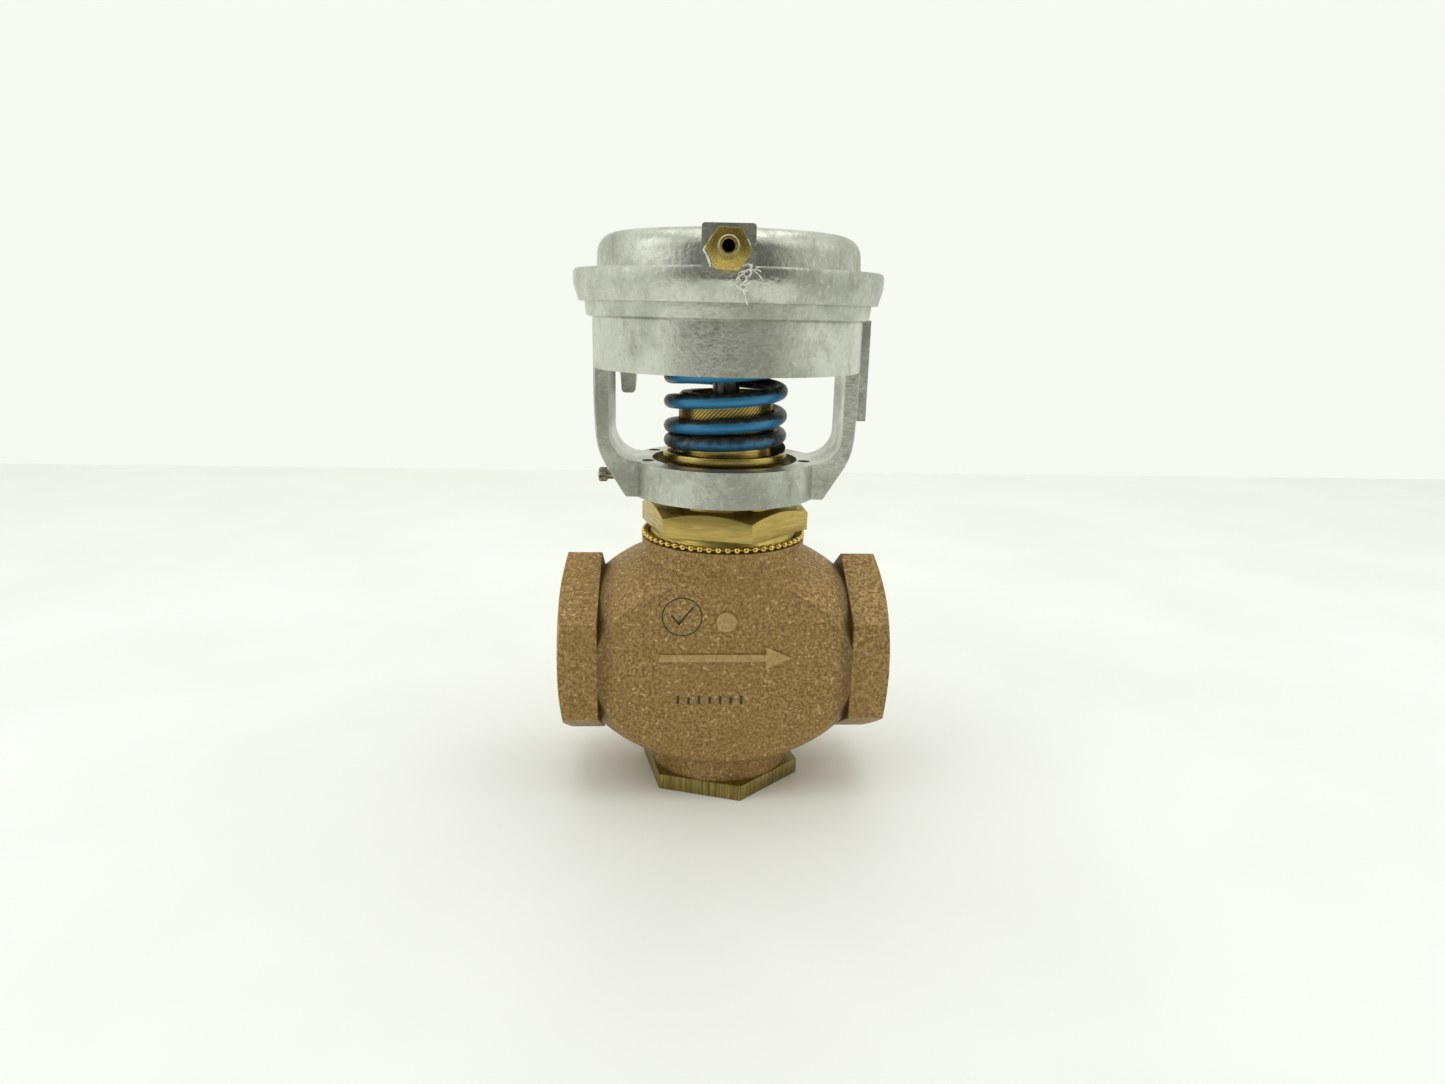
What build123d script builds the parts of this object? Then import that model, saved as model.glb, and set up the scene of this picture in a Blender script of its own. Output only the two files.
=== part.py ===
"""Screwed bronze globe control valve, size 32, with a 4 inch pneumatic diaphragm actuator.

Air pressed onto the diaphragm pushes the piston and stem down and closes the plug on its seat.
The return spring lifts them again. The knurled sleeve inside the spring sets its preload.

Millimetres. X runs along the pipe, Z runs up the stem, and the origin lies in the underside of
the bottom cap, on the stem axis.
"""

import os
from math import pi, radians, sqrt, tan

from build123d import *

os.makedirs("parts", exist_ok=True)

# ---------------------------------------------------------------- valve body
body_length = 117.0
port_height = 50.1
bulb_half_length, bulb_half_depth, bulb_half_height = 58.7, 48.5, 44.0
bulb_sections = 10
bulb_end_share = 0.88
flat_to_flat = 62.0
body_wall = 5.0
end_hex_flats = 60.8
end_hex_length = 14.2
flat_edge_fillet = 1.5
port_bore_d = 38.8
port_mouth_chamfer = 1.9
port_thread_length = 18.0
neck_d = 59.4
neck_top = 92.6
neck_bore_d = 48.0
neck_bore_bottom = 77.0
neck_fillet = 2.5
collar_d = 53.0
collar_bore_d = 42.0
web_thickness = 6.0
web_wall_gap = 55.0
web_height = 44.5
pip_d = 7.0
pip_height = 69.2
mark_relief = 0.7
arrow_height = 56.0
arrow_length = 46.0
arrow_shaft_width = 2.6
arrow_head_length = 9.0
arrow_head_width = 8.0

# ---------------------------------------------------------------- bottom cap and seat
cap_flats = 54.0
cap_hex_height = 5.8
cap_spigot_length = 12.2
cap_wall = 3.5
cap_floor = 4.0
cap_turn = 42.0
cap_gasket_depth = 1.2
cap_gasket_width = 3.0
seat_bore_d = 28.0
seat_ring_d = 34.0
seat_lip_height = 2.5
seat_lip_width = 1.0
seat_flange_d = 38.0
seat_flange_height = 3.0

# ---------------------------------------------------------------- bonnet and packing
bonnet_flats = 53.7
bonnet_hex_bottom = 96.4
bonnet_hex_height = 8.8
bonnet_chamfer_height = 2.45
bonnet_turn = 44.7
bonnet_skirt_d = 54.2
bonnet_skirt_inset = 1.0
bonnet_gasket_height = 0.8
bonnet_gasket_width = 3.0
bonnet_spigot_length = 11.0
bonnet_recess_d = 40.0
bonnet_recess_depth = 6.0
hub_d = 43.2
hub_top = 108.6
hub_slots = 6
hub_slot_width = 7.0
hub_slot_depth = 2.2
yoke_neck_d = 38.6
yoke_neck_top = 113.0
nose_d = 22.0
nose_top = 138.0
guide_bush_d = 13.5
guide_bush_length = 14.0
packing_bore_d = 15.6
packing_floor = 112.0
packing_ring_height = 2.4
packing_ring_count = 4
packing_spring_height = 8.0
packing_spring_wire = 1.2
packing_spring_turns = 4
packing_washer_height = 1.2
packing_nut_flats = 17.0
packing_nut_height = 4.5
packing_nut_thread = 6.0
wiper_d = 12.6
wiper_height = 1.6

# ---------------------------------------------------------------- chain
chain_beads = 57
chain_pitch = 3.175
bead_d = 2.4
bead_wall = 0.3
link_wire_d = 0.5
link_ball_d = 0.8
connector_d = 3.0
connector_wall = 0.25
connector_length = 5.6

# ---------------------------------------------------------------- stem, plug and piston
stem_d = 9.5
stem_spigot_d = 8.0
stem_bottom = 60.0
stem_top_end = 192.4
stroke = 13.0
disc_holder_d = 38.0
disc_holder_height = 6.0
disc_holder_rim = 1.6
seal_disc_height = 3.0
plug_nose_bottom = 57.5
plug_nose_d = 27.2
plug_nose_land = 3.0
plug_tip_d = 15.0
plug_spigot_d = 18.0
plug_floor = 1.5
piston_d = 75.0
piston_top = 184.5
piston_thickness = 4.0
piston_skirt = 12.0
piston_skirt_wall = 2.5
piston_rim_height = 2.0
piston_rim_width = 2.0
piston_edge = 1.0
diaphragm_thickness = 1.5
diaphragm_bead_height = 2.0
diaphragm_roll_height = 176.0
retainer_d = 54.0
retainer_thickness = 2.0
piston_nut_flats = 13.0
piston_nut_height = 4.0

# ---------------------------------------------------------------- spring and adjuster
spring_seat_top = 124.0
spring_seat_d = 44.4
spring_seat_thickness = 3.9
spring_seat_edge = 0.4
spring_d = 44.0
spring_wire = 5.0
spring_pitch = 8.5
sleeve_d = 33.4
sleeve_top = 144.5
sleeve_chamfer = 0.9
sleeve_bore_d = 24.0
sleeve_thread_length = 12.0
sleeve_foot_d = 37.0
sleeve_foot_thickness = 2.6

# ---------------------------------------------------------------- yoke housing
actuator_turn = -2.1
ring_d = 66.0
ring_height = 12.4
ring_bore_d = 52.0
ring_lip_thickness = 2.0
ring_hole_d = 4.4
ring_hole_places = [(-27.0, -9.4), (-26.0, 14.8), (28.0, -5.9)]
yoke_nut_d = 50.6
yoke_nut_height = 6.0
yoke_nut_slots = 4
yoke_nut_slot_width = 6.0
yoke_nut_slot_depth = 2.4
arm_span = 80.6
arm_width = 26.0
foot_bottom_r = 36.7
foot_knee_r, foot_knee_height = 41.6, 117.0
arm_bend_r, arm_bend_height = 44.7, 123.0
arm_straight_r, arm_straight_height = 46.1, 130.5
arm_top_height = 141.0
window_radius = 10.0
barrel_d = 93.2
barrel_bottom = 152.7
barrel_bore_d = 84.0
barrel_floor = 4.0
spring_hole_d = 56.0
flange_bottom = 170.0
flange_d = 99.8
flange_top = 179.0
flange_taper_d = 97.2
flange_step = 0.8
crimp_groove_d = 98.2
crimp_groove_bottom = 173.8
crimp_groove_height = 1.6
pad_face = 49.5
pad_root = 43.0
pad_bottom, pad_top = 135.4, 170.0
pad_front, pad_back = -4.0, 16.0
pad_hole_d = 4.2
pad_hole_depth = 5.0
pad_hole_spacing = 20.0
pad_hole_height = 152.5
lug_width_top, lug_width_bottom = 6.4, 4.9
lug_drop = 10.8
lug_thickness = 5.0
lug_x, lug_y = -36.0, 20.0
lug_radius = 1.4

# ---------------------------------------------------------------- cover and air inlet
cover_turn = -3.6
cover_rim_d = 105.6
cover_rim_bottom = 174.6
cover_rim_top = 184.8
cover_rim_bottom_d = 102.4
cover_rim_edge = 1.0
cover_rim_band = 4.6
cover_dome_d = 89.8
cover_draft = 0.6
cover_top = 196.5
cover_wall = 3.2
cover_corner = 6.5
cover_seat_height = 181.0
crimp_lip = 0.7
boss_width = 15.6
boss_front = 52.0
boss_top = 196.4
boss_bottom = 181.2
boss_edge = 1.0
air_port_height = 189.0
air_port_d = 8.6
air_port_depth = 7.6
air_passage_d = 4.0
air_passage_overrun = 4.0
fitting_flats = 11.5
fitting_hex_length = 5.6
fitting_hex_turn = -4.0
fitting_bore_d = 3.5
fitting_stub_length = 7.0
barb_d = 5.0
barb_ridge_d = 6.2
barb_length = 12.4
barb_shank_length = 4.0
barb_ridges = 3
barb_land_share = 0.25
tape_thickness = 0.5

# ---------------------------------------------------------------- lock screw
lock_screw_height = 114.1
lock_screw_head_d = 5.2
lock_screw_head_length = 3.0
lock_screw_head_end = 45.3
lock_screw_d = 3.4
lock_screw_socket_flats = 2.5
lock_screw_socket_depth = 1.8

# ---------------------------------------------------------------- fits
thread_gap = 0.05
slide_gap = 0.05
turn_gap = 0.3
part_gap = 0.1
cut_margin = 1.0
edge_tolerance = 0.2
whole_circle_share = 0.95

# ---------------------------------------------------------------- worked out from the above
half_length = body_length / 2
hex_inner = half_length - end_hex_length
flat_y = flat_to_flat / 2
web_top = web_height + web_thickness
seat_lip_top = web_top + seat_flange_height + seat_lip_height
disc_bottom = seat_lip_top + stroke
disc_top = disc_bottom + seal_disc_height
plug_shoulder = disc_top + disc_holder_height
chain_radius = chain_beads * chain_pitch / (2 * pi)
link_length = chain_pitch - (bead_d - 2 * bead_wall - link_ball_d - 2 * thread_gap)
bonnet_hex_top = bonnet_hex_bottom + bonnet_hex_height
bonnet_seat = neck_top + bonnet_gasket_height
spring_top = piston_top - piston_thickness
diaphragm_top = piston_top + diaphragm_thickness
ring_bottom = hub_top + slide_gap
ring_top = ring_bottom + ring_height
lip_top = ring_bottom + ring_lip_thickness
nut_bottom = lip_top + part_gap
seat_bottom = spring_seat_top - spring_seat_thickness
sleeve_bottom = seat_bottom - sleeve_foot_thickness
cover_inside = cover_top - cover_wall

STAND = (Align.CENTER, Align.CENTER, Align.MIN)
HANG = (Align.CENTER, Align.CENTER, Align.MAX)
actuator_plan = Plane.XY.rotated((0, 0, actuator_turn))
actuator_section = Plane.XZ.rotated((0, 0, actuator_turn))
cover_section = Plane.XZ.rotated((0, 0, cover_turn))
air_port_face = cover_section.offset(boss_front)


def save(piece, name):
    """Label a finished piece and write it to its own STEP file."""
    piece.part.label = name
    export_step(piece.part, f"parts/{name}.step")


# ================================================================ valve body
def bulb_section(x, half_depth, half_height):
    """The bulb's elliptical section at a distance x along the pipe."""
    share = sqrt(1 - (x / bulb_half_length) ** 2)
    with BuildSketch(Plane(origin=(x, 0, port_height), x_dir=(0, 1, 0), z_dir=(1, 0, 0))) as section:
        Ellipse(half_depth * share, half_height * share)
    return section.sketch


bulb_reach = bulb_half_length * bulb_end_share
bulb_stations = [bulb_reach * (2 * i / (bulb_sections - 1) - 1) for i in range(bulb_sections)]

with BuildPart() as flow_chambers:
    loft([
        bulb_section(x, bulb_half_depth - body_wall, bulb_half_height - body_wall)
        for x in bulb_stations
    ])
    with Locations((0, 0, port_height)):
        Box(
            2 * (half_length - port_thread_length),
            flat_to_flat - 2 * body_wall,
            2 * bulb_half_height,
            mode=Mode.INTERSECT,
        )
    with BuildSketch(Plane.XZ) as bridge:
        with Locations((0, web_height)):
            Rectangle(web_wall_gap, web_thickness, align=(Align.CENTER, Align.MIN))
        with Locations((-web_wall_gap / 2, web_height)):
            Rectangle(web_thickness, bulb_half_height * 2, align=(Align.CENTER, Align.MIN))
        with Locations((web_wall_gap / 2, web_top)):
            Rectangle(web_thickness, bulb_half_height * 2, align=(Align.CENTER, Align.MAX))
    extrude(amount=flat_y, both=True, mode=Mode.SUBTRACT)

with BuildPart() as valve_body:
    loft([bulb_section(x, bulb_half_depth, bulb_half_height) for x in bulb_stations])
    for side in (-1, 1):
        end_face = Plane(origin=(side * hex_inner, 0, port_height), x_dir=(0, 1, 0), z_dir=(1, 0, 0))
        with BuildSketch(end_face):
            RegularPolygon(end_hex_flats / sqrt(3), 6, rotation=30)
        extrude(amount=side * end_hex_length)
    with BuildSketch(Plane.XY.offset(port_height)):
        Circle(neck_d / 2)
    extrude(amount=neck_top - port_height)
    with BuildSketch(Plane.XY.offset(cap_hex_height)):
        Circle(collar_d / 2)
    extrude(amount=port_height - cap_hex_height)
    with Locations((0, 0, neck_top)):
        Box(body_length, flat_to_flat, neck_top, align=HANG, mode=Mode.INTERSECT)
    # cast edges are soft: round the flats, the neck and the bottom collar into the bulb
    soft_edges = valve_body.edges()
    soft_edges = soft_edges.filter_by(lambda edge: abs(abs(edge.center().Y) - flat_y) < edge_tolerance)
    fillet(soft_edges, radius=flat_edge_fillet)
    neck_root = valve_body.edges().filter_by_position(Axis.Z, port_height, neck_top - cut_margin)
    whole_circle = whole_circle_share * pi * neck_d
    neck_root = neck_root.filter_by(lambda edge: edge.length > whole_circle)
    fillet(neck_root, radius=neck_fillet)
    # raised marks on the front: a round pip and a plain flow arrow
    with BuildSketch(Plane.XZ.offset(flat_y - mark_relief)):
        with Locations((0, pip_height)):
            Circle(pip_d / 2)
    extrude(amount=2 * mark_relief)
    with BuildSketch(Plane.XZ.offset(flat_y - mark_relief)):
        with Locations((-arrow_head_length / 2, arrow_height)):
            Rectangle(arrow_length - arrow_head_length, arrow_shaft_width)
        with BuildLine():
            Polyline(
                (arrow_length / 2, arrow_height),
                (arrow_length / 2 - arrow_head_length, arrow_height + arrow_head_width / 2),
                (arrow_length / 2 - arrow_head_length, arrow_height - arrow_head_width / 2),
                close=True,
            )
        make_face()
    extrude(amount=2 * mark_relief)
    # flow chambers, the seat's bore and the machined bores
    add(flow_chambers.part, mode=Mode.SUBTRACT)
    with Locations((0, 0, web_height - cut_margin)):
        Cylinder(
            seat_ring_d / 2, web_thickness + 2 * cut_margin, align=STAND, mode=Mode.SUBTRACT
        )
    with Locations((0, 0, neck_top)):
        Cylinder(neck_bore_d / 2, neck_top - neck_bore_bottom, align=HANG, mode=Mode.SUBTRACT)
    with Locations((0, 0, cap_hex_height)):
        Cylinder(
            collar_bore_d / 2, cap_spigot_length + 2 * cut_margin, align=STAND, mode=Mode.SUBTRACT
        )
        Cylinder(
            collar_bore_d / 2 + cap_gasket_width, cap_gasket_depth, align=STAND, mode=Mode.SUBTRACT
        )
    for side in (-1, 1):
        mouth = Plane(origin=(side * half_length, 0, port_height), z_dir=(-side, 0, 0))
        with BuildSketch(mouth):
            Circle(port_bore_d / 2)
        extrude(amount=port_thread_length, mode=Mode.SUBTRACT)
    mouths = valve_body.edges().filter_by(GeomType.CIRCLE)
    mouths = mouths.filter_by(lambda edge: abs(abs(edge.center().X) - half_length) < edge_tolerance)
    chamfer(mouths, length=port_mouth_chamfer)
save(valve_body, "valve_body")

# ================================================================ bottom cap, its gasket, the seat ring
with BuildPart() as bottom_cap:
    with BuildSketch():
        RegularPolygon(cap_flats / sqrt(3), 6, rotation=cap_turn)
    extrude(amount=cap_hex_height)
    with Locations((0, 0, cap_hex_height)):
        Cylinder(collar_bore_d / 2 - thread_gap, cap_spigot_length, align=STAND)
    with Locations((0, 0, cap_floor)):
        Cylinder(
            collar_bore_d / 2 - cap_wall,
            cap_hex_height + cap_spigot_length - cap_floor,
            align=STAND,
            mode=Mode.SUBTRACT,
        )
save(bottom_cap, "bottom_cap")

with BuildPart() as cap_gasket:
    with Locations((0, 0, cap_hex_height)):
        Cylinder(collar_bore_d / 2 + cap_gasket_width - thread_gap, cap_gasket_depth, align=STAND)
        Cylinder(collar_bore_d / 2, cap_gasket_depth, align=STAND, mode=Mode.SUBTRACT)
save(cap_gasket, "cap_gasket")

with BuildPart() as seat_ring:
    with Locations((0, 0, web_height)):
        Cylinder(seat_ring_d / 2 - thread_gap, web_thickness, align=STAND)
    with Locations((0, 0, web_top)):
        Cylinder(seat_flange_d / 2, seat_flange_height, align=STAND)
        Cylinder(seat_bore_d / 2 + seat_lip_width, seat_lip_top - web_top, align=STAND)
    with Locations((0, 0, web_height)):
        Cylinder(seat_bore_d / 2, seat_lip_top - web_height, align=STAND, mode=Mode.SUBTRACT)
save(seat_ring, "seat_ring")

# ================================================================ bonnet
with BuildPart() as bonnet:
    with BuildSketch(Plane.XY.offset(bonnet_hex_bottom)):
        RegularPolygon(bonnet_flats / sqrt(3), 6, rotation=bonnet_turn)
    extrude(amount=bonnet_hex_height)
    # a lathe cut takes the hexagon's upper corners off at 30 degrees
    with BuildSketch(Plane.XZ):
        with BuildLine():
            corner = bonnet_flats / sqrt(3)
            drop = bonnet_chamfer_height
            Polyline(
                (corner, bonnet_hex_top - drop),
                (corner - drop / tan(radians(30)), bonnet_hex_top),
                (corner + drop, bonnet_hex_top),
                (corner + drop, bonnet_hex_top - drop),
                close=True,
            )
        make_face()
    revolve(axis=Axis.Z, mode=Mode.SUBTRACT)
    # skirt, spigot, hub, yoke neck and nose, all turned
    with BuildSketch(Plane.XZ):
        with BuildLine():
            Polyline(
                (0, bonnet_seat - bonnet_spigot_length),
                (neck_bore_d / 2 - thread_gap, bonnet_seat - bonnet_spigot_length),
                (neck_bore_d / 2 - thread_gap, bonnet_seat),
                (bonnet_skirt_d / 2, bonnet_seat),
                (bonnet_flats / 2 - bonnet_skirt_inset, bonnet_hex_bottom),
                (hub_d / 2, bonnet_hex_top),
                (hub_d / 2, hub_top),
                (yoke_neck_d / 2, hub_top),
                (yoke_neck_d / 2, yoke_neck_top),
                (nose_d / 2, yoke_neck_top),
                (nose_d / 2, nose_top),
                (0, nose_top),
                close=True,
            )
        make_face()
    revolve(axis=Axis.Z)
    # castellations in the hub
    with BuildSketch(Plane.XY.offset(bonnet_hex_top)):
        with PolarLocations(hub_d / 2, hub_slots, start_angle=bonnet_turn):
            Rectangle(2 * hub_slot_depth, hub_slot_width)
    extrude(amount=hub_top - bonnet_hex_top, mode=Mode.SUBTRACT)
    # recess below for the raised plug, the stem's way through, guide bush and packing box
    with Locations((0, 0, bonnet_seat - bonnet_spigot_length)):
        Cylinder(bonnet_recess_d / 2, bonnet_recess_depth, align=STAND, mode=Mode.SUBTRACT)
        Cylinder(stem_d / 2 + turn_gap, nose_top, align=STAND, mode=Mode.SUBTRACT)
    bush_bottom = bonnet_seat - bonnet_spigot_length + bonnet_recess_depth
    with Locations((0, 0, bush_bottom)):
        Cylinder(guide_bush_d / 2, guide_bush_length, align=STAND, mode=Mode.SUBTRACT)
    with Locations((0, 0, packing_floor)):
        Cylinder(packing_bore_d / 2, nose_top - packing_floor, align=STAND, mode=Mode.SUBTRACT)
save(bonnet, "bonnet")

with BuildPart() as bonnet_gasket:
    with Locations((0, 0, neck_top)):
        Cylinder(neck_bore_d / 2 + bonnet_gasket_width, bonnet_gasket_height, align=STAND)
        Cylinder(neck_bore_d / 2, bonnet_gasket_height, align=STAND, mode=Mode.SUBTRACT)
save(bonnet_gasket, "bonnet_gasket")

with BuildPart() as guide_bush:
    with Locations((0, 0, bush_bottom)):
        Cylinder(guide_bush_d / 2, guide_bush_length, align=STAND)
        Cylinder(stem_d / 2 + slide_gap, guide_bush_length, align=STAND, mode=Mode.SUBTRACT)
save(guide_bush, "guide_bush")


# ================================================================ packing box, from its floor upwards
def packing_piece(bottom, height, bore_d=stem_d + 2 * slide_gap, outer_d=packing_bore_d - 2 * slide_gap):
    """A ring that fills the packing box around the stem."""
    with BuildPart() as ring:
        with Locations((0, 0, bottom)):
            Cylinder(outer_d / 2, height, align=STAND)
            Cylinder(bore_d / 2, height, align=STAND, mode=Mode.SUBTRACT)
    return ring.part


with BuildPart() as packing_spring:
    spring_mean_r = (packing_bore_d + stem_d) / 4
    coil_pitch = (packing_spring_height - packing_spring_wire) / packing_spring_turns
    with BuildLine():
        coil = Helix(
            coil_pitch,
            coil_pitch * packing_spring_turns,
            spring_mean_r,
            center=(0, 0, packing_floor + packing_spring_wire / 2),
        )
    with BuildSketch(Plane(origin=coil @ 0, z_dir=coil % 0)):
        Circle(packing_spring_wire / 2)
    sweep()
save(packing_spring, "packing_spring")

washer_bottom = packing_floor + packing_spring_height
packing_bottom = washer_bottom + packing_washer_height
packing_top = packing_bottom + packing_ring_count * packing_ring_height
follower_height = nose_top - packing_nut_thread - packing_top

with BuildPart() as packing_washer:
    add(packing_piece(washer_bottom, packing_washer_height))
save(packing_washer, "packing_washer")

with BuildPart() as packing_rings:
    for i in range(packing_ring_count):
        bottom = packing_bottom + i * packing_ring_height
        add(packing_piece(bottom, packing_ring_height - part_gap))
save(packing_rings, "packing_rings")

with BuildPart() as packing_follower:
    add(packing_piece(packing_top, follower_height))
save(packing_follower, "packing_follower")

with BuildPart() as packing_nut:
    with Locations((0, 0, nose_top)):
        Cylinder(packing_bore_d / 2 - thread_gap, packing_nut_thread, align=HANG)
    with BuildSketch(Plane.XY.offset(nose_top)):
        RegularPolygon(packing_nut_flats / sqrt(3), 6)
    extrude(amount=packing_nut_height)
    with Locations((0, 0, nose_top - packing_nut_thread)):
        Cylinder(
            stem_d / 2 + turn_gap,
            packing_nut_thread + packing_nut_height,
            align=STAND,
            mode=Mode.SUBTRACT,
        )
    with Locations((0, 0, nose_top + packing_nut_height)):
        Cylinder(wiper_d / 2, wiper_height, align=HANG, mode=Mode.SUBTRACT)
save(packing_nut, "packing_nut")

with BuildPart() as stem_wiper:
    with Locations((0, 0, nose_top + packing_nut_height)):
        Cylinder(wiper_d / 2, wiper_height, align=HANG)
        Cylinder(stem_d / 2 + slide_gap, wiper_height, align=HANG, mode=Mode.SUBTRACT)
save(stem_wiper, "stem_wiper")

# ================================================================ ball chain round the neck
bead_height = neck_top + bead_d / 2
chain_plane = Plane.XY.offset(bead_height)
bead_angle = 360 / chain_beads

with BuildPart() as one_bead:
    Sphere(bead_d / 2)
    Sphere(bead_d / 2 - bead_wall, mode=Mode.SUBTRACT)
    Cylinder(link_wire_d / 2 + slide_gap, bead_d, rotation=(90, 0, 0), mode=Mode.SUBTRACT)

with BuildPart() as chain_bead_ring:
    with Locations(chain_plane):
        with PolarLocations(chain_radius, chain_beads, start_angle=90 + bead_angle / 2):
            add(one_bead.part)
save(chain_bead_ring, "chain_beads")

with BuildPart() as one_link:
    Cylinder(link_wire_d / 2, link_length, rotation=(90, 0, 0))
    with Locations((0, link_length / 2, 0), (0, -link_length / 2, 0)):
        Sphere(link_ball_d / 2)

with BuildPart() as chain_links:
    with Locations(chain_plane):
        with PolarLocations(chain_radius, chain_beads, start_angle=90):
            add(one_link.part)
save(chain_links, "chain_links")

with BuildPart() as chain_connector:
    # a slit sleeve that snaps over the two end beads
    joint_plane = Plane(origin=(0, chain_radius, bead_height), z_dir=(1, 0, 0))
    with BuildSketch(joint_plane.offset(-connector_length / 2)):
        Circle(connector_d / 2)
        Circle(connector_d / 2 - connector_wall, mode=Mode.SUBTRACT)
    extrude(amount=connector_length)
    with Locations((0, chain_radius, neck_top + part_gap)):
        Box(connector_length, connector_d, connector_d, align=HANG, mode=Mode.SUBTRACT)
save(chain_connector, "chain_connector")

# ================================================================ stem and plug
with BuildPart() as valve_stem:
    with Locations((0, 0, stem_bottom)):
        Cylinder(stem_spigot_d / 2, stem_top_end - stem_bottom, align=STAND)
    with Locations((0, 0, plug_shoulder)):
        Cylinder(stem_d / 2, spring_top - plug_shoulder, align=STAND)
save(valve_stem, "valve_stem")

stem_hole_r = stem_spigot_d / 2 + thread_gap

with BuildPart() as disc_holder:
    with Locations((0, 0, plug_shoulder)):
        Cylinder(disc_holder_d / 2, disc_holder_height + disc_holder_rim, align=HANG)
    with Locations((0, 0, disc_top)):
        Cylinder(
            disc_holder_d / 2 - seat_lip_width, disc_holder_rim, align=HANG, mode=Mode.SUBTRACT
        )
        Cylinder(stem_hole_r, disc_holder_height, align=STAND, mode=Mode.SUBTRACT)
save(disc_holder, "disc_holder")

with BuildPart() as seal_disc:
    with Locations((0, 0, disc_bottom)):
        Cylinder(disc_holder_d / 2 - seat_lip_width - thread_gap, seal_disc_height, align=STAND)
        Cylinder(
            plug_spigot_d / 2 + thread_gap, seal_disc_height, align=STAND, mode=Mode.SUBTRACT
        )
save(seal_disc, "seal_disc")

with BuildPart() as throttling_plug:
    with BuildSketch(Plane.XZ):
        with BuildLine():
            land_bottom = disc_bottom - plug_nose_land
            Line((0, disc_top), (plug_spigot_d / 2, disc_top))
            Line((plug_spigot_d / 2, disc_top), (plug_spigot_d / 2, disc_bottom))
            Line((plug_spigot_d / 2, disc_bottom), (plug_nose_d / 2, disc_bottom))
            side_line = Line((plug_nose_d / 2, disc_bottom), (plug_nose_d / 2, land_bottom))
            TangentArc(side_line @ 1, (plug_tip_d / 2, plug_nose_bottom), tangent=side_line % 1)
            Polyline((plug_tip_d / 2, plug_nose_bottom), (0, plug_nose_bottom), (0, disc_top))
        make_face()
    revolve(axis=Axis.Z)
    with Locations((0, 0, plug_nose_bottom + plug_floor)):
        Cylinder(stem_hole_r, disc_top - plug_nose_bottom, align=STAND, mode=Mode.SUBTRACT)
save(throttling_plug, "throttling_plug")

# ================================================================ piston and diaphragm
piston_skirt_inner = piston_d / 2 - piston_skirt_wall
spring_rim_r = spring_d / 2 + turn_gap

with BuildPart() as piston:
    with Locations((0, 0, piston_top)):
        Cylinder(piston_d / 2, piston_skirt, align=HANG)
    with Locations((0, 0, spring_top)):
        Cylinder(piston_skirt_inner, piston_skirt, align=HANG, mode=Mode.SUBTRACT)
        Cylinder(spring_rim_r + piston_rim_width, piston_rim_height, align=HANG)
        Cylinder(spring_rim_r, piston_rim_height, align=HANG, mode=Mode.SUBTRACT)
        Cylinder(stem_hole_r, piston_thickness, align=STAND, mode=Mode.SUBTRACT)
    fillet(piston.faces().sort_by(Axis.Z)[-1].edges().sort_by(SortBy.LENGTH)[-1], radius=piston_edge)
save(piston, "piston")

roll_inner = piston_d / 2 + part_gap
roll_outer = barrel_bore_d / 2 - part_gap
roll_centre = (roll_inner + roll_outer) / 2
roll_outside_r = (roll_outer - roll_inner) / 2

with BuildPart() as diaphragm:
    with BuildSketch(actuator_section):
        with Locations((stem_hole_r, piston_top)):
            Rectangle(
                roll_inner + diaphragm_thickness - stem_hole_r,
                diaphragm_thickness,
                align=(Align.MIN, Align.MIN),
            )
        with Locations((roll_inner, diaphragm_roll_height)):
            Rectangle(
                diaphragm_thickness,
                diaphragm_top - diaphragm_roll_height,
                align=(Align.MIN, Align.MIN),
            )
        with Locations((roll_outer, diaphragm_roll_height)):
            Rectangle(
                diaphragm_thickness,
                flange_top + diaphragm_bead_height - diaphragm_roll_height,
                align=(Align.MAX, Align.MIN),
            )
        with Locations((roll_outer - diaphragm_thickness, flange_top)):
            Rectangle(
                flange_d / 2 - part_gap - roll_outer + diaphragm_thickness,
                diaphragm_bead_height,
                align=(Align.MIN, Align.MIN),
            )
        with Locations((roll_centre, diaphragm_roll_height)):
            Circle(roll_outside_r)
            Circle(roll_outside_r - diaphragm_thickness, mode=Mode.SUBTRACT)
            Rectangle(
                2 * (roll_outside_r - diaphragm_thickness),
                2 * roll_outside_r,
                align=(Align.CENTER, Align.MIN),
                mode=Mode.SUBTRACT,
            )
    revolve(axis=Axis.Z)
save(diaphragm, "diaphragm")

with BuildPart() as diaphragm_retainer:
    with Locations((0, 0, diaphragm_top)):
        Cylinder(retainer_d / 2, retainer_thickness, align=STAND)
        Cylinder(stem_hole_r, retainer_thickness, align=STAND, mode=Mode.SUBTRACT)
save(diaphragm_retainer, "diaphragm_retainer")

with BuildPart() as piston_nut:
    with BuildSketch(Plane.XY.offset(diaphragm_top + retainer_thickness)):
        RegularPolygon(piston_nut_flats / sqrt(3), 6)
        Circle(stem_hole_r, mode=Mode.SUBTRACT)
    extrude(amount=piston_nut_height)
save(piston_nut, "piston_nut")

# ================================================================ spring, its seat, adjusting sleeve
with BuildPart() as return_spring:
    # the helix runs past both ends, which are ground flat
    helix_bottom = spring_seat_top + slide_gap
    helix_height = spring_top - slide_gap - helix_bottom
    with BuildLine():
        wire_path = Helix(
            spring_pitch, helix_height, (spring_d - spring_wire) / 2, center=(0, 0, helix_bottom)
        )
    with BuildSketch(Plane(origin=wire_path @ 0, z_dir=wire_path % 0)):
        Circle(spring_wire / 2)
    sweep()
    with Locations((0, 0, helix_bottom)):
        Cylinder(spring_d, helix_height, align=STAND, mode=Mode.INTERSECT)
save(return_spring, "return_spring")

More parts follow.
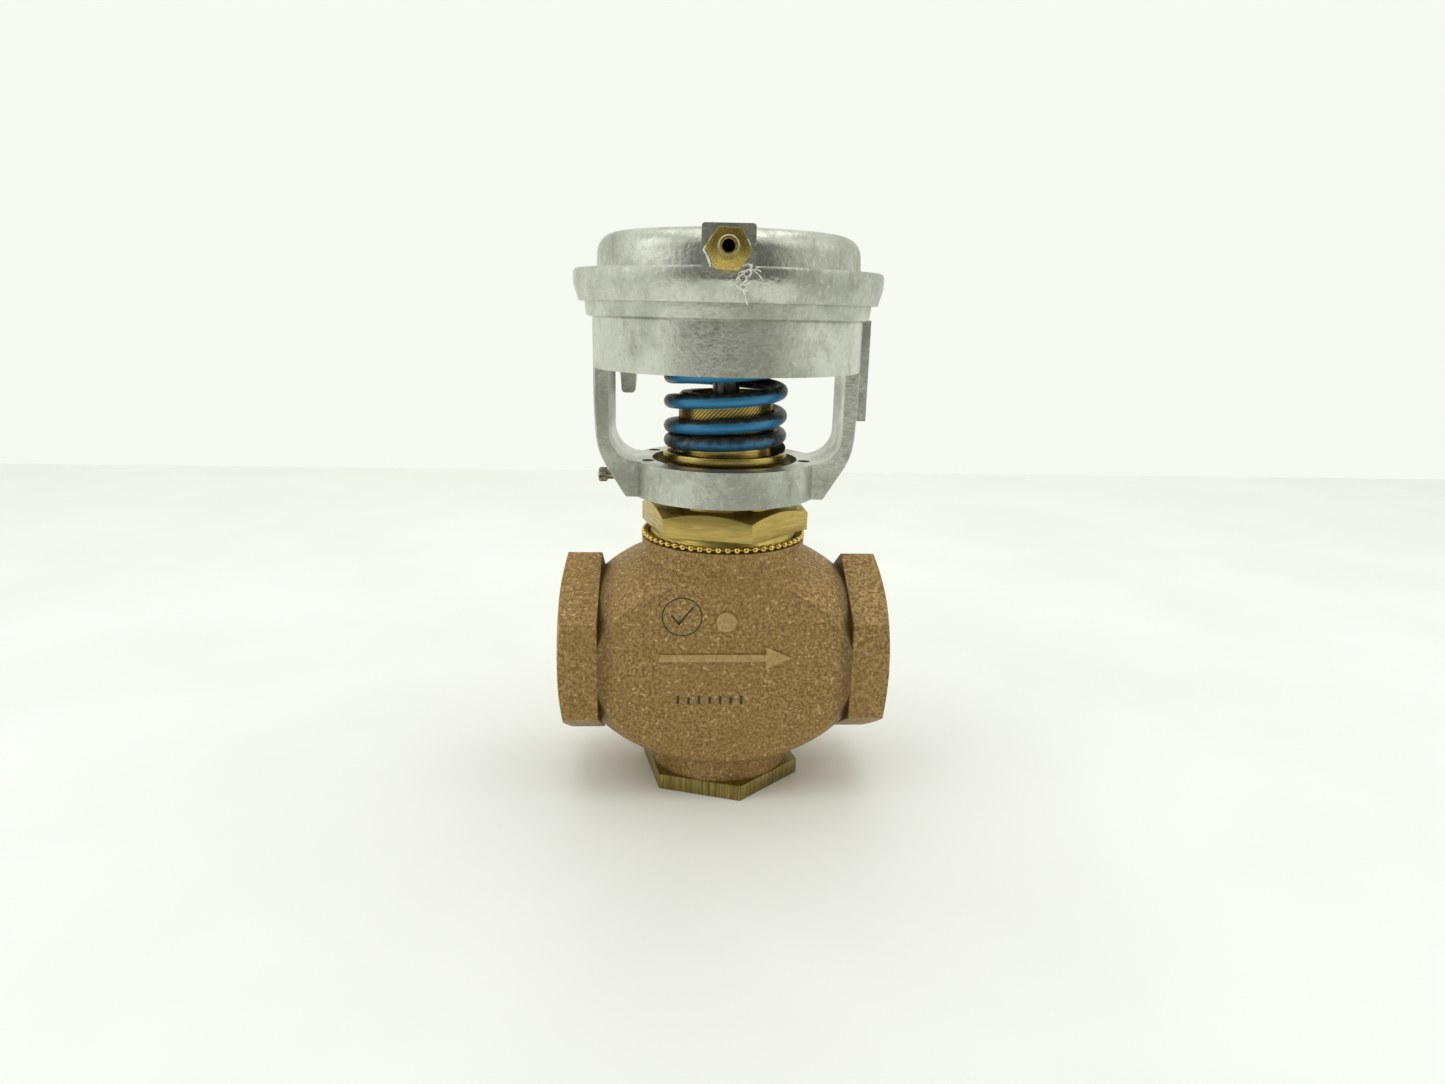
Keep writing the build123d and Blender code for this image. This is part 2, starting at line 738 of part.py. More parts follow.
with BuildPart() as spring_seat:
    with Locations((0, 0, seat_bottom)):
        Cylinder(spring_seat_d / 2, spring_seat_thickness, align=STAND)
    chamfer(spring_seat.edges().filter_by(GeomType.CIRCLE), length=spring_seat_edge)
    with Locations((0, 0, seat_bottom)):
        Cylinder(
            sleeve_d / 2 + slide_gap, spring_seat_thickness, align=STAND, mode=Mode.SUBTRACT
        )
save(spring_seat, "spring_seat")

with BuildPart() as adjusting_sleeve:
    with Locations((0, 0, sleeve_bottom)):
        Cylinder(sleeve_d / 2, sleeve_top - sleeve_bottom, align=STAND)
    chamfer(adjusting_sleeve.edges().sort_by(Axis.Z)[-1], length=sleeve_chamfer)
    with Locations((0, 0, sleeve_bottom)):
        Cylinder(sleeve_foot_d / 2, sleeve_foot_thickness, align=STAND)
        Cylinder(nose_d / 2 + thread_gap, sleeve_thread_length, align=STAND, mode=Mode.SUBTRACT)
    with Locations((0, 0, sleeve_top)):
        Cylinder(
            sleeve_bore_d / 2,
            sleeve_top - sleeve_bottom - sleeve_thread_length,
            align=HANG,
            mode=Mode.SUBTRACT,
        )
save(adjusting_sleeve, "adjusting_sleeve")

# ================================================================ yoke nut and yoke housing
with BuildPart() as yoke_nut:
    with Locations((0, 0, nut_bottom)):
        Cylinder(yoke_nut_d / 2, yoke_nut_height, align=STAND)
        Cylinder(
            yoke_neck_d / 2 + thread_gap, yoke_nut_height, align=STAND, mode=Mode.SUBTRACT
        )
    with BuildSketch(Plane.XY.offset(nut_bottom)):
        with PolarLocations(yoke_nut_d / 2, yoke_nut_slots):
            Rectangle(2 * yoke_nut_slot_depth, yoke_nut_slot_width)
    extrude(amount=yoke_nut_height, mode=Mode.SUBTRACT)
save(yoke_nut, "yoke_nut")

with BuildPart() as yoke_housing:
    # the arms: a turned outside, cut down to their width
    with BuildSketch(actuator_section):
        with BuildLine():
            Polyline((0, ring_bottom), (foot_bottom_r, ring_bottom), (foot_knee_r, foot_knee_height))
            ThreePointArc(
                (foot_knee_r, foot_knee_height),
                (arm_bend_r, arm_bend_height),
                (arm_straight_r, arm_straight_height),
            )
            Polyline(
                (arm_straight_r, arm_straight_height),
                (barrel_d / 2, arm_top_height),
                (barrel_d / 2, barrel_bottom),
                (0, barrel_bottom),
                (0, ring_bottom),
            )
        make_face()
    revolve(axis=Axis.Z)
    with BuildSketch(actuator_plan):
        Rectangle(barrel_d, arm_width)
    extrude(amount=barrel_bottom, mode=Mode.INTERSECT)
    # the window between the arms, with round lower corners
    with BuildSketch(actuator_section) as window:
        with Locations((0, ring_top)):
            Rectangle(arm_span, barrel_bottom - ring_top, align=(Align.CENTER, Align.MIN))
        fillet(window.vertices().group_by(Axis.Y)[0], radius=window_radius)
    extrude(amount=arm_width, both=True, mode=Mode.SUBTRACT)
    # the ring at the foot
    with Locations((0, 0, ring_bottom)):
        Cylinder(ring_d / 2, ring_height, align=STAND)
    # the lug that hangs under the barrel and the pad on its right
    with BuildSketch(actuator_section.offset(-lug_y - lug_thickness / 2)) as lug:
        with BuildLine():
            Polyline(
                (lug_x - lug_width_top / 2, barrel_bottom),
                (lug_x - lug_width_bottom / 2, barrel_bottom - lug_drop),
                (lug_x + lug_width_bottom / 2, barrel_bottom - lug_drop),
                (lug_x + lug_width_top / 2, barrel_bottom),
                close=True,
            )
        make_face()
        fillet(lug.vertices().group_by(Axis.Y)[0], radius=lug_radius)
    extrude(amount=lug_thickness)
    with BuildSketch(actuator_plan.offset(pad_bottom)):
        with Locations((pad_root, pad_front)):
            Rectangle(pad_face - pad_root, pad_back - pad_front, align=(Align.MIN, Align.MIN))
    extrude(amount=pad_top - pad_bottom)
    # barrel and flange, with the groove that the cover is crimped into
    with BuildSketch(actuator_section):
        with BuildLine():
            groove_top = crimp_groove_bottom + crimp_groove_height
            Polyline(
                (0, barrel_bottom),
                (barrel_d / 2, barrel_bottom),
                (barrel_d / 2, flange_bottom - flange_step),
                (flange_taper_d / 2, flange_bottom),
                (crimp_groove_d / 2, crimp_groove_bottom),
                (crimp_groove_d / 2, groove_top),
                (flange_d / 2, groove_top),
                (flange_d / 2, flange_top),
                (0, flange_top),
                (0, barrel_bottom),
            )
        make_face()
    revolve(axis=Axis.Z)
    # bores: ring, lip, spring hole and barrel
    with Locations((0, 0, ring_top)):
        Cylinder(ring_bore_d / 2, ring_top - lip_top, align=HANG, mode=Mode.SUBTRACT)
    with Locations((0, 0, ring_bottom)):
        Cylinder(yoke_neck_d / 2 + slide_gap, ring_height, align=STAND, mode=Mode.SUBTRACT)
    with Locations((0, 0, barrel_bottom)):
        Cylinder(spring_hole_d / 2, barrel_floor, align=STAND, mode=Mode.SUBTRACT)
    with Locations((0, 0, flange_top)):
        Cylinder(
            barrel_bore_d / 2, flange_top - barrel_bottom - barrel_floor, align=HANG,
            mode=Mode.SUBTRACT,
        )
    # three holes down through the ring, the lock screw's hole and the pad's two tapped holes
    with BuildSketch(actuator_plan.offset(ring_bottom)):
        with Locations(*ring_hole_places):
            Circle(ring_hole_d / 2)
    extrude(amount=ring_height, mode=Mode.SUBTRACT)
    lock_axis = Plane.YZ.rotated((0, 0, actuator_turn))
    with BuildSketch(lock_axis.offset(-barrel_d / 2)):
        with Locations((0, lock_screw_height)):
            Circle(lock_screw_d / 2 + thread_gap)
    extrude(amount=barrel_d / 2, mode=Mode.SUBTRACT)
    with BuildSketch(lock_axis.offset(pad_face)):
        with Locations(
            ((pad_front + pad_back) / 2, pad_hole_height - pad_hole_spacing / 2),
            ((pad_front + pad_back) / 2, pad_hole_height + pad_hole_spacing / 2),
        ):
            Circle(pad_hole_d / 2)
    extrude(amount=-pad_hole_depth, mode=Mode.SUBTRACT)
save(yoke_housing, "yoke_housing")

with BuildPart() as lock_screw:
    with BuildSketch(lock_axis.offset(-lock_screw_head_end)):
        with Locations((0, lock_screw_height)):
            Circle(lock_screw_head_d / 2)
    extrude(amount=lock_screw_head_length)
    with BuildSketch(lock_axis.offset(-lock_screw_head_end)):
        with Locations((0, lock_screw_height)):
            Circle(lock_screw_d / 2)
    extrude(amount=lock_screw_head_end - yoke_nut_d / 2 - part_gap)
    with BuildSketch(lock_axis.offset(-lock_screw_head_end)):
        with Locations((0, lock_screw_height)):
            RegularPolygon(lock_screw_socket_flats / sqrt(3), 6)
    extrude(amount=lock_screw_socket_depth, mode=Mode.SUBTRACT)
save(lock_screw, "lock_screw")

# ================================================================ cover
with BuildPart() as cover:
    with BuildSketch(cover_section) as outline:
        with BuildLine():
            dome_r = cover_dome_d / 2
            Polyline(
                (0, cover_top),
                (dome_r - cover_draft, cover_top),
                (dome_r, cover_rim_top),
                (cover_rim_d / 2 - cover_rim_edge / 2, cover_rim_top),
                (cover_rim_d / 2, cover_rim_top - cover_rim_edge),
                (cover_rim_d / 2, cover_rim_top - cover_rim_band),
                (cover_rim_bottom_d / 2, cover_rim_bottom),
                (0, cover_rim_bottom),
                (0, cover_top),
            )
        make_face()
        fillet(outline.vertices().group_by(Axis.Y)[-1].sort_by(Axis.X)[-1], radius=cover_corner)
    revolve(axis=Axis.Z)
    with BuildSketch(air_port_face) as boss:
        with Locations((0, boss_bottom)):
            Rectangle(boss_width, boss_top - boss_bottom, align=(Align.CENTER, Align.MIN))
        fillet(boss.vertices().group_by(Axis.Y)[-1], radius=boss_edge)
    extrude(amount=-(boss_front - dome_r + 2 * cover_wall))
    with BuildSketch(air_port_face):
        with Locations((0, boss_bottom)):
            Rectangle(boss_width, boss_top - boss_bottom, align=(Align.CENTER, Align.MIN))
    extrude(amount=cover_rim_d / 2 - boss_front + part_gap, mode=Mode.SUBTRACT)
    # the hollow above the diaphragm, and the bell that holds the housing's flange
    with BuildSketch(cover_section) as hollow:
        with BuildLine():
            inner_r = dome_r - cover_wall
            Polyline(
                (0, cover_inside),
                (inner_r - cover_draft, cover_inside),
                (inner_r, cover_seat_height),
                (flange_d / 2 + slide_gap, cover_seat_height),
                (flange_d / 2 + slide_gap, groove_top - slide_gap),
                (flange_d / 2 - crimp_lip, groove_top - slide_gap),
                (flange_d / 2 - crimp_lip, cover_rim_bottom - cut_margin),
                (0, cover_rim_bottom - cut_margin),
                (0, cover_inside),
            )
        make_face()
        inner_corner = hollow.vertices().group_by(Axis.Y)[-1].sort_by(Axis.X)[-1]
        fillet(inner_corner, radius=cover_corner - cover_wall)
    revolve(axis=Axis.Z, mode=Mode.SUBTRACT)
    # air inlet: tapped port and passage
    with BuildSketch(air_port_face):
        with Locations((0, air_port_height)):
            Circle(air_port_d / 2)
    extrude(amount=-air_port_depth, mode=Mode.SUBTRACT)
    with BuildSketch(air_port_face):
        with Locations((0, air_port_height)):
            Circle(air_passage_d / 2)
    extrude(amount=-(boss_front - inner_r + air_passage_overrun), mode=Mode.SUBTRACT)
save(cover, "cover")

with BuildPart() as seal_tape:
    with BuildSketch(air_port_face):
        with Locations((0, air_port_height)):
            Circle(fitting_flats / 2)
            Circle(air_port_d / 2, mode=Mode.SUBTRACT)
    extrude(amount=tape_thickness)
save(seal_tape, "seal_tape")

with BuildPart() as air_fitting:
    with BuildSketch(air_port_face.offset(-fitting_stub_length)):
        with Locations((0, air_port_height)):
            Circle(air_port_d / 2 - thread_gap)
    extrude(amount=fitting_stub_length + tape_thickness)
    with BuildSketch(air_port_face.offset(tape_thickness)):
        with Locations((0, air_port_height)):
            RegularPolygon(fitting_flats / sqrt(3), 6, rotation=fitting_hex_turn)
    extrude(amount=fitting_hex_length)
    hex_face = air_port_face.offset(tape_thickness + fitting_hex_length)
    with BuildSketch(hex_face):
        with Locations((0, air_port_height)):
            Circle(barb_d / 2)
    extrude(amount=barb_length)
    with BuildSketch(hex_face):
        with Locations((0, air_port_height)):
            Circle(barb_ridge_d / 2)
    extrude(amount=barb_shank_length)
    ridge_pitch = (barb_length - barb_shank_length) / barb_ridges
    for i in range(barb_ridges):
        ridge_foot = barb_shank_length + i * ridge_pitch
        with BuildSketch(hex_face.offset(ridge_foot)):
            with Locations((0, air_port_height)):
                Circle(barb_ridge_d / 2)
        with BuildSketch(hex_face.offset(ridge_foot + (1 - barb_land_share) * ridge_pitch)):
            with Locations((0, air_port_height)):
                Circle(barb_d / 2)
        loft()
    with BuildSketch(hex_face.offset(barb_length)):
        with Locations((0, air_port_height)):
            Circle(fitting_bore_d / 2)
    extrude(
        amount=-(barb_length + fitting_hex_length + tape_thickness + fitting_stub_length),
        mode=Mode.SUBTRACT,
    )
save(air_fitting, "air_fitting")
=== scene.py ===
"""Looks of a bronze globe valve with a pneumatic diaphragm actuator, around its CAD frame."""

import math
from random import Random

import bmesh
import bpy
from bpy.props import FloatProperty, FloatVectorProperty, IntProperty, PointerProperty
from mathutils import Matrix, Vector


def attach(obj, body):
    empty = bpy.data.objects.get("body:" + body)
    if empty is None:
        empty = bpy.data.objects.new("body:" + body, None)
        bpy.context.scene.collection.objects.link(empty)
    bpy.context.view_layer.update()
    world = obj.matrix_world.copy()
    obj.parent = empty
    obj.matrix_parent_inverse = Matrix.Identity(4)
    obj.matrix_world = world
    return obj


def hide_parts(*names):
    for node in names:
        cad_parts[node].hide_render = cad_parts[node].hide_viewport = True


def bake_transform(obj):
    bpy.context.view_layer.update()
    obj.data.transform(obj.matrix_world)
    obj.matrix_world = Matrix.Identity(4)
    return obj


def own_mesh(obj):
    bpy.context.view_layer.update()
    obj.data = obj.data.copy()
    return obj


bl_info = {
    "name": "Globe Control Valve",
    "version": (1, 0, 0),
    "blender": (4, 5, 0),
    "location": "View3D > Sidebar > Valve",
    "description": "Builds the visible pieces and finishes of a pneumatic globe valve",
    "category": "Add Mesh",
}

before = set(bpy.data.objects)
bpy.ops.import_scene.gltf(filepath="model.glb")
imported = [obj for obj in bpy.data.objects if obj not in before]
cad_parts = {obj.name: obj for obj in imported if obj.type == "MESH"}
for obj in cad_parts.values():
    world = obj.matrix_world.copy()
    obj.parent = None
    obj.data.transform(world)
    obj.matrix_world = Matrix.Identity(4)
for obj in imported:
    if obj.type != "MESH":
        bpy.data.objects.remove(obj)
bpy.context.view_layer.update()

MM = 0.001
ACTUATOR_TURN = Matrix.Rotation(math.radians(-2.1), 4, "Z")
COVER_TURN = Matrix.Rotation(math.radians(-3.6), 4, "Z")
# in millimetres; the bore's radius is also that of the port threads' crests
PORT_AXIS_Z = 50.1
FLAT_Y = -31.0
PORT_BORE_R = 19.4
SMOOTH_ANGLE = math.radians(32)
BEVEL_ANGLE = math.radians(38)
MERGE_DISTANCE = 0.002 * MM
# keeps the finishes apart from the materials that come with the frame
FINISH_SUFFIX = "_finish"


# ------------------------------------------------------------------ properties
class ValveSizes(bpy.types.PropertyGroup):
    """Sizes of the pieces that are modelled here."""

    cast_edge: FloatProperty(
        name="Cast edge", description="Rounding of the bronze casting's hexagon edges",
        default=0.9 * MM, min=0, unit="LENGTH",
    )
    housing_edge: FloatProperty(
        name="Housing edge", description="Rounding of the aluminium casting's edges",
        default=0.45 * MM, min=0, unit="LENGTH",
    )
    brass_edge: FloatProperty(
        name="Brass edge", description="Broken edge on the turned and milled brass",
        default=0.15 * MM, min=0, unit="LENGTH",
    )
    wire: FloatProperty(
        name="Spring wire", description="Diameter of the return spring's wire",
        default=5.0 * MM, min=0, unit="LENGTH",
    )
    spring_outside: FloatProperty(
        name="Spring outside", description="Outside diameter of the return spring",
        default=44.0 * MM, min=0, unit="LENGTH",
    )
    spring_squash: FloatProperty(
        name="Spring at full stroke",
        description="Share of the spring's length left at full stroke",
        default=0.77, min=0.1, max=1, subtype="FACTOR",
    )
    knurl_teeth: IntProperty(
        name="Knurl teeth", description="Diamonds round the adjusting sleeve", default=72, min=12,
    )
    knurl_depth: FloatProperty(
        name="Knurl depth", description="Height of a diamond on the adjusting sleeve",
        default=0.42 * MM, min=0, unit="LENGTH",
    )
    thread_pitch: FloatProperty(
        name="Pipe thread pitch", description="Pitch of the threads in both ports",
        default=2.209 * MM, min=0, unit="LENGTH",
    )
    thread_root: FloatProperty(
        name="Pipe thread root", description="Root radius of the threads in both ports",
        default=20.8 * MM, min=0, unit="LENGTH",
    )


def colour_property(name, description, default):
    """A linear colour that a user can change."""
    return FloatVectorProperty(
        name=name, description=description, default=default, min=0, max=1, size=3, subtype="COLOR"
    )


class ValveColours(bpy.types.PropertyGroup):
    """Base colours of the finishes, linear."""

    bronze_dark: colour_property("Bronze pits", "Dark grain of the casting", (0.235, 0.135, 0.042))
    bronze_pale: colour_property("Bronze grain", "Pale grain of the casting", (0.430, 0.275, 0.100))
    brass: colour_property("Brass", "Milled and turned brass", (0.560, 0.420, 0.130))
    brass_dull: colour_property("Dull brass", "Tarnished brass", (0.270, 0.195, 0.060))
    aluminium_dark: colour_property("Aluminium patches", "Dark patches", (0.270, 0.280, 0.235))
    aluminium_pale: colour_property("Aluminium", "Pale die-cast aluminium", (0.600, 0.610, 0.545))
    spring_steel: colour_property("Spring steel", "Dark wire", (0.030, 0.033, 0.031))
    spring_paint: colour_property("Spring paint", "Stripe on the spring", (0.030, 0.220, 0.440))
    studio: colour_property("Studio", "The pale studio round the object", (0.930, 0.955, 0.870))


# ------------------------------------------------------------------ finishes
class Finish:
    """One material and short ways to add its nodes. Patterns read Object coordinates, in metres."""

    def __init__(self, name, metallic, roughness):
        self.material = bpy.data.materials.new(name + FINISH_SUFFIX)
        self.material.use_nodes = True
        self.tree = self.material.node_tree
        self.surface = self.tree.nodes["Principled BSDF"]
        self.surface.inputs["Metallic"].default_value = metallic
        self.surface.inputs["Roughness"].default_value = roughness
        self.place = self.node("ShaderNodeTexCoord").outputs["Object"]
        self.last_bump = None

    def node(self, kind, **settings):
        made = self.tree.nodes.new(kind)
        for key, value in settings.items():
            setattr(made, key, value)
        return made

    def put(self, value, socket):
        """Link an output to a socket, or set the socket to a number or colour."""
        if isinstance(value, bpy.types.NodeSocket):
            self.tree.links.new(value, socket)
        elif hasattr(value, "__len__") and len(socket.default_value) == 4:
            socket.default_value = (*value, 1)
        else:
            socket.default_value = value

    def math(self, operation, a, b=0.0):
        made = self.node("ShaderNodeMath", operation=operation)
        self.put(a, made.inputs[0])
        self.put(b, made.inputs[1])
        return made.outputs[0]

    def spread(self, value, low, high, bottom=0.0, top=1.0):
        """The value's range low to high, eased onto bottom to top."""
        made = self.node("ShaderNodeMapRange", interpolation_type="SMOOTHSTEP")
        for socket, x in zip(made.inputs, (value, low, high, bottom, top)):
            self.put(x, socket)
        return made.outputs[0]

    def axes(self):
        """The three coordinates of the place."""
        made = self.node("ShaderNodeSeparateXYZ")
        self.put(self.place, made.inputs[0])
        return made.outputs

    def off_axis(self):
        """The distance from the stem axis."""
        x, y, _ = self.axes()
        squares = self.math("ADD", self.math("MULTIPLY", x, x), self.math("MULTIPLY", y, y))
        return self.math("SQRT", squares)

    def grain(self, scale, detail=3.0, stretch=(1, 1, 1), rough=0.5, place=None):
        """Noise with that many cells a metre, stretched along the axes."""
        mapping = self.node("ShaderNodeMapping")
        self.put(place or self.place, mapping.inputs["Vector"])
        mapping.inputs["Scale"].default_value = stretch
        made = self.node("ShaderNodeTexNoise")
        self.put(mapping.outputs[0], made.inputs["Vector"])
        made.inputs["Scale"].default_value = scale
        made.inputs["Detail"].default_value = detail
        made.inputs["Roughness"].default_value = rough
        return made.outputs["Fac"]

    def round_place(self):
        """Angle, radius and height about the stem axis, so that streaks follow a turned face."""
        x, y, z = self.axes()
        metres_a_radian = 0.05
        made = self.node("ShaderNodeCombineXYZ")
        self.put(self.math("MULTIPLY", self.math("ARCTAN2", y, x), metres_a_radian), made.inputs[0])
        self.put(self.off_axis(), made.inputs[1])
        self.put(z, made.inputs[2])
        return made.outputs[0]

    def mix(self, share, a, b):
        made = self.node("ShaderNodeMix", data_type="RGBA")
        self.put(share, made.inputs[0])
        self.put(a, made.inputs[6])
        self.put(b, made.inputs[7])
        return made.outputs[2]

    def colour(self, value):
        self.put(value, self.surface.inputs["Base Color"])

    def roughness(self, value):
        self.put(value, self.surface.inputs["Roughness"])

    def bump(self, height, depth):
        """Bump of that depth in metres, on top of any before it."""
        made = self.node("ShaderNodeBump")
        made.inputs["Distance"].default_value = depth
        self.put(height, made.inputs["Height"])
        if self.last_bump is not None:
            self.put(self.last_bump, made.inputs["Normal"])
        self.last_bump = made.outputs[0]
        self.put(self.last_bump, self.surface.inputs["Normal"])


def cast_bronze(colours):
    """Sand-cast bronze: bright grain over brown, painted shade in the groove beside the hexagons,
    marks worn bright.
    """
    brown, ochre, glint = (0.215, 0.108, 0.033), (0.330, 0.195, 0.058), (0.86, 0.62, 0.34)
    rubbed, groove_shade = (0.66, 0.48, 0.22), (0.095, 0.045, 0.014)
    mark_foot, mark_top = FLAT_Y - 0.15, FLAT_Y - 0.35
    f = Finish("cast_bronze", 0.45, 0.52)
    x, y, _ = f.axes()
    fine = f.grain(900, 2.0, rough=0.6)
    coarse = f.grain(260, 3.0)
    patches = f.grain(38, 5.0)
    body = f.mix(f.spread(fine, 0.34, 0.66), colours.bronze_dark, colours.bronze_pale)
    body = f.mix(f.spread(coarse, 0.40, 0.70, 0.0, 0.12), body, brown)
    body = f.mix(f.spread(patches, 0.42, 0.62, 0.0, 0.30), body, ochre)
    speck = f.spread(f.grain(820, 1.0), 0.62, 0.74, 0.0, 0.50)
    body = f.mix(speck, body, glint)
    worn = f.spread(y, mark_foot * MM, mark_top * MM, 0.0, 0.45)
    body = f.mix(worn, body, rubbed)
    # painted shade: the groove between the neck and each hexagon is darkened
    along = f.math("ABSOLUTE", x)
    past_neck = f.spread(along, 0.0375, 0.0435)
    before_hexagon = f.spread(along, 0.0442, 0.0449, 1.0, 0.0)
    groove = f.math("MULTIPLY", past_neck, before_hexagon)
    body = f.mix(f.math("MULTIPLY", groove, 0.55), body, groove_shade)
    f.colour(body)
    f.roughness(f.spread(fine, 0.35, 0.7, 0.66, 0.42))
    f.bump(coarse, 0.00004)
    f.bump(fine, 0.00008)
    return f.material


def machined_brass(name, colours, streaks, rough, dull=0.25, depth=0.000012):
    """Brass with tool marks, which are long where streaks has a small number for an axis."""
    f = Finish(name, 1.0, rough)
    marks = f.grain(1800, 3.0, streaks, rough=0.6)
    clouds = f.grain(70, 4.0)
    body = f.mix(f.spread(clouds, 0.40, 0.66, 0.0, dull), colours.brass, colours.brass_dull)
    body = f.mix(f.spread(marks, 0.35, 0.65, 0.0, 0.35), body, colours.brass_dull)
    f.colour(body)
    f.roughness(f.spread(marks, 0.3, 0.7, rough - 0.07, rough + 0.12))
    f.bump(marks, depth)
    return f.material


def cap_brass():
    """Bottom cap: olive, tarnished bar with vertical saw marks."""
    olive_dark, olive_pale = (0.150, 0.115, 0.035), (0.420, 0.330, 0.115)
    tarnish = (0.210, 0.150, 0.045)
    f = Finish("cap_brass", 0.95, 0.42)
    marks = f.grain(1500, 3.0, (1, 1, 0.04), rough=0.65)
    clouds = f.grain(90, 5.0)
    body = f.mix(f.spread(marks, 0.3, 0.7), olive_dark, olive_pale)
    body = f.mix(f.spread(clouds, 0.4, 0.7, 0.0, 0.5), body, tarnish)
    f.colour(body)
    f.bump(marks, 0.00006)
    return f.material


def turned_brass(name, colours, rough, knurl=False):
    """Brass turned about the stem axis: fine lines run round it, and the knurl's valleys get
    painted shade.
    """
    amber, knurl_shade = (0.36, 0.24, 0.06), (0.075, 0.045, 0.012)
    f = Finish(name, 1.0, rough)
    around = f.round_place()
    lines = f.grain(2600, 2.0, (0.02, 0.3, 1), place=around)
    clouds = f.grain(120, 3.0)
    body = f.mix(f.spread(lines, 0.35, 0.65, 0.0, 0.4), colours.brass, colours.brass_dull)
    body = f.mix(f.spread(clouds, 0.45, 0.7, 0.0, 0.3), body, amber)
    if knurl:
        # painted shade: the knurl's valleys, below the crests, are darkened
        radius = f.off_axis()
        below_crests = f.spread(radius, 0.01634, 0.01664, 1.0, 0.0)
        outside_bore = f.spread(radius, 0.0155, 0.0161)
        valley = f.math("MULTIPLY", below_crests, outside_bore)
        body = f.mix(f.math("MULTIPLY", valley, 0.85), body, knurl_shade)
    f.colour(body)
    f.roughness(f.spread(lines, 0.3, 0.7, rough - 0.05, rough + 0.1))
    f.bump(lines, 0.00001)
    return f.material


def die_cast(name, colours, rough, crimp=False):
    """Die-cast aluminium: grey patches, scuffs and a fine sparkle, and crimp marks if wanted."""
    stain, scuff, pit = (0.235, 0.220, 0.175), (0.82, 0.83, 0.78), (0.28, 0.28, 0.25)
    sparkle, crimped = (0.85, 0.86, 0.81), (0.70, 0.69, 0.60)
    f = Finish(name, 1.0, rough)
    clouds = f.grain(30, 7.0, rough=0.6)
    stains = f.grain(140, 5.0, (1, 1, 0.6), rough=0.65)
    fine = f.grain(620, 2.0, rough=0.6)
    scuffs = f.grain(420, 3.0, (1, 1, 0.45), rough=0.7)
    patches = f.spread(clouds, 0.40, 0.64, 0.0, 0.62)
    body = f.mix(patches, colours.aluminium_pale, colours.aluminium_dark)
    body = f.mix(f.spread(stains, 0.52, 0.70, 0.0, 0.45), body, stain)
    body = f.mix(f.spread(scuffs, 0.64, 0.76, 0.0, 0.30), body, scuff)
    body = f.mix(f.spread(fine, 0.42, 0.34, 0.0, 0.28), body, pit)
    body = f.mix(f.spread(fine, 0.58, 0.70, 0.0, 0.25), body, sparkle)
    if crimp:
        z = f.axes()[2]
        above_foot = f.spread(z, 0.1748, 0.1757)
        below_top = f.spread(z, 0.1770, 0.1784, 1.0, 0.0)
        band = f.math("MULTIPLY", above_foot, below_top)
        teeth = f.grain(1900, 2.0, (1, 0.1, 0.05), place=f.round_place())
        marks = f.math("MULTIPLY", band, f.spread(teeth, 0.50, 0.60))
        body = f.mix(f.math("MULTIPLY", marks, 0.30), body, crimped)
        f.bump(marks, 0.00004)
    f.colour(body)
    f.roughness(f.spread(clouds, 0.35, 0.65, rough - 0.08, rough + 0.12))
    f.bump(stains, 0.00010)
    f.bump(fine, 0.00012)
    return f.material


def spring_steel(colours):
    """Dark wire with a sprayed stripe that follows the piece's own paint attribute."""
    grey = (0.075, 0.078, 0.066)
    f = Finish("spring_steel", 0.35, 0.38)
    paint = f.node("ShaderNodeAttribute", attribute_name="paint").outputs["Fac"]
    mottle = f.grain(380, 4.0)
    fine = f.grain(2200, 2.0)
    steel = f.mix(f.spread(mottle, 0.4, 0.65), colours.spring_steel, grey)
    ragged = f.math("MULTIPLY", f.math("SUBTRACT", mottle, 0.5), 0.45)
    share = f.spread(f.math("ADD", paint, ragged), 0.25, 0.75)
    f.colour(f.mix(share, steel, colours.spring_paint))
    f.roughness(f.spread(fine, 0.3, 0.7, 0.30, 0.48))
    f.bump(mottle, 0.00003)
    f.bump(fine, 0.000012)
    return f.material


def plain(name, dark, pale, metallic, rough, scale, depth=0.00002, stretch=(1, 1, 1)):
    """A surface with two close shades of one colour and a fine grain."""
    f = Finish(name, metallic, rough)
    grain = f.grain(scale, 4.0, stretch)
    f.colour(f.mix(f.spread(grain, 0.35, 0.65), dark, pale))
    f.roughness(f.spread(grain, 0.3, 0.7, max(rough - 0.08, 0.05), rough + 0.08))
    f.bump(grain, depth)
    return f.material


# dark and pale colour, metallic, roughness, cells a metre, then bump depth and stretch if set
PLAIN_FINISHES = {
    "chain_brass": ((0.50, 0.34, 0.07), (0.80, 0.60, 0.18), 1.0, 0.20, 1500),
    "stainless_steel": (
        (0.50, 0.50, 0.49), (0.66, 0.66, 0.64), 1.0, 0.25, 900, 0.00001, (1, 1, 0.1),
    ),
    # painted shade: the stem's steel is darkened for the shade inside the spring
    "shaded_stem_steel": (
        (0.10, 0.10, 0.095), (0.22, 0.22, 0.21), 1.0, 0.32, 900, 0.00001, (1, 1, 0.1),
    ),
    "nickel_plate": ((0.22, 0.20, 0.14), (0.46, 0.42, 0.31), 0.95, 0.36, 900),
    "black_rubber": ((0.012, 0.012, 0.012), (0.035, 0.035, 0.034), 0.0, 0.6, 700),
    "white_ptfe": ((0.70, 0.71, 0.67), (0.90, 0.91, 0.88), 0.0, 0.42, 1500, 0.00005),
    "gasket_fibre": ((0.14, 0.040, 0.025), (0.30, 0.10, 0.06), 0.0, 0.8, 1200),
    "cut_bronze": (
        (0.42, 0.27, 0.10), (0.68, 0.48, 0.21), 1.0, 0.28, 1400, 0.00002, (0.1, 1, 1),
    ),
    "ink": ((0.010, 0.011, 0.010), (0.060, 0.055, 0.040), 0.0, 0.55, 1500),
}


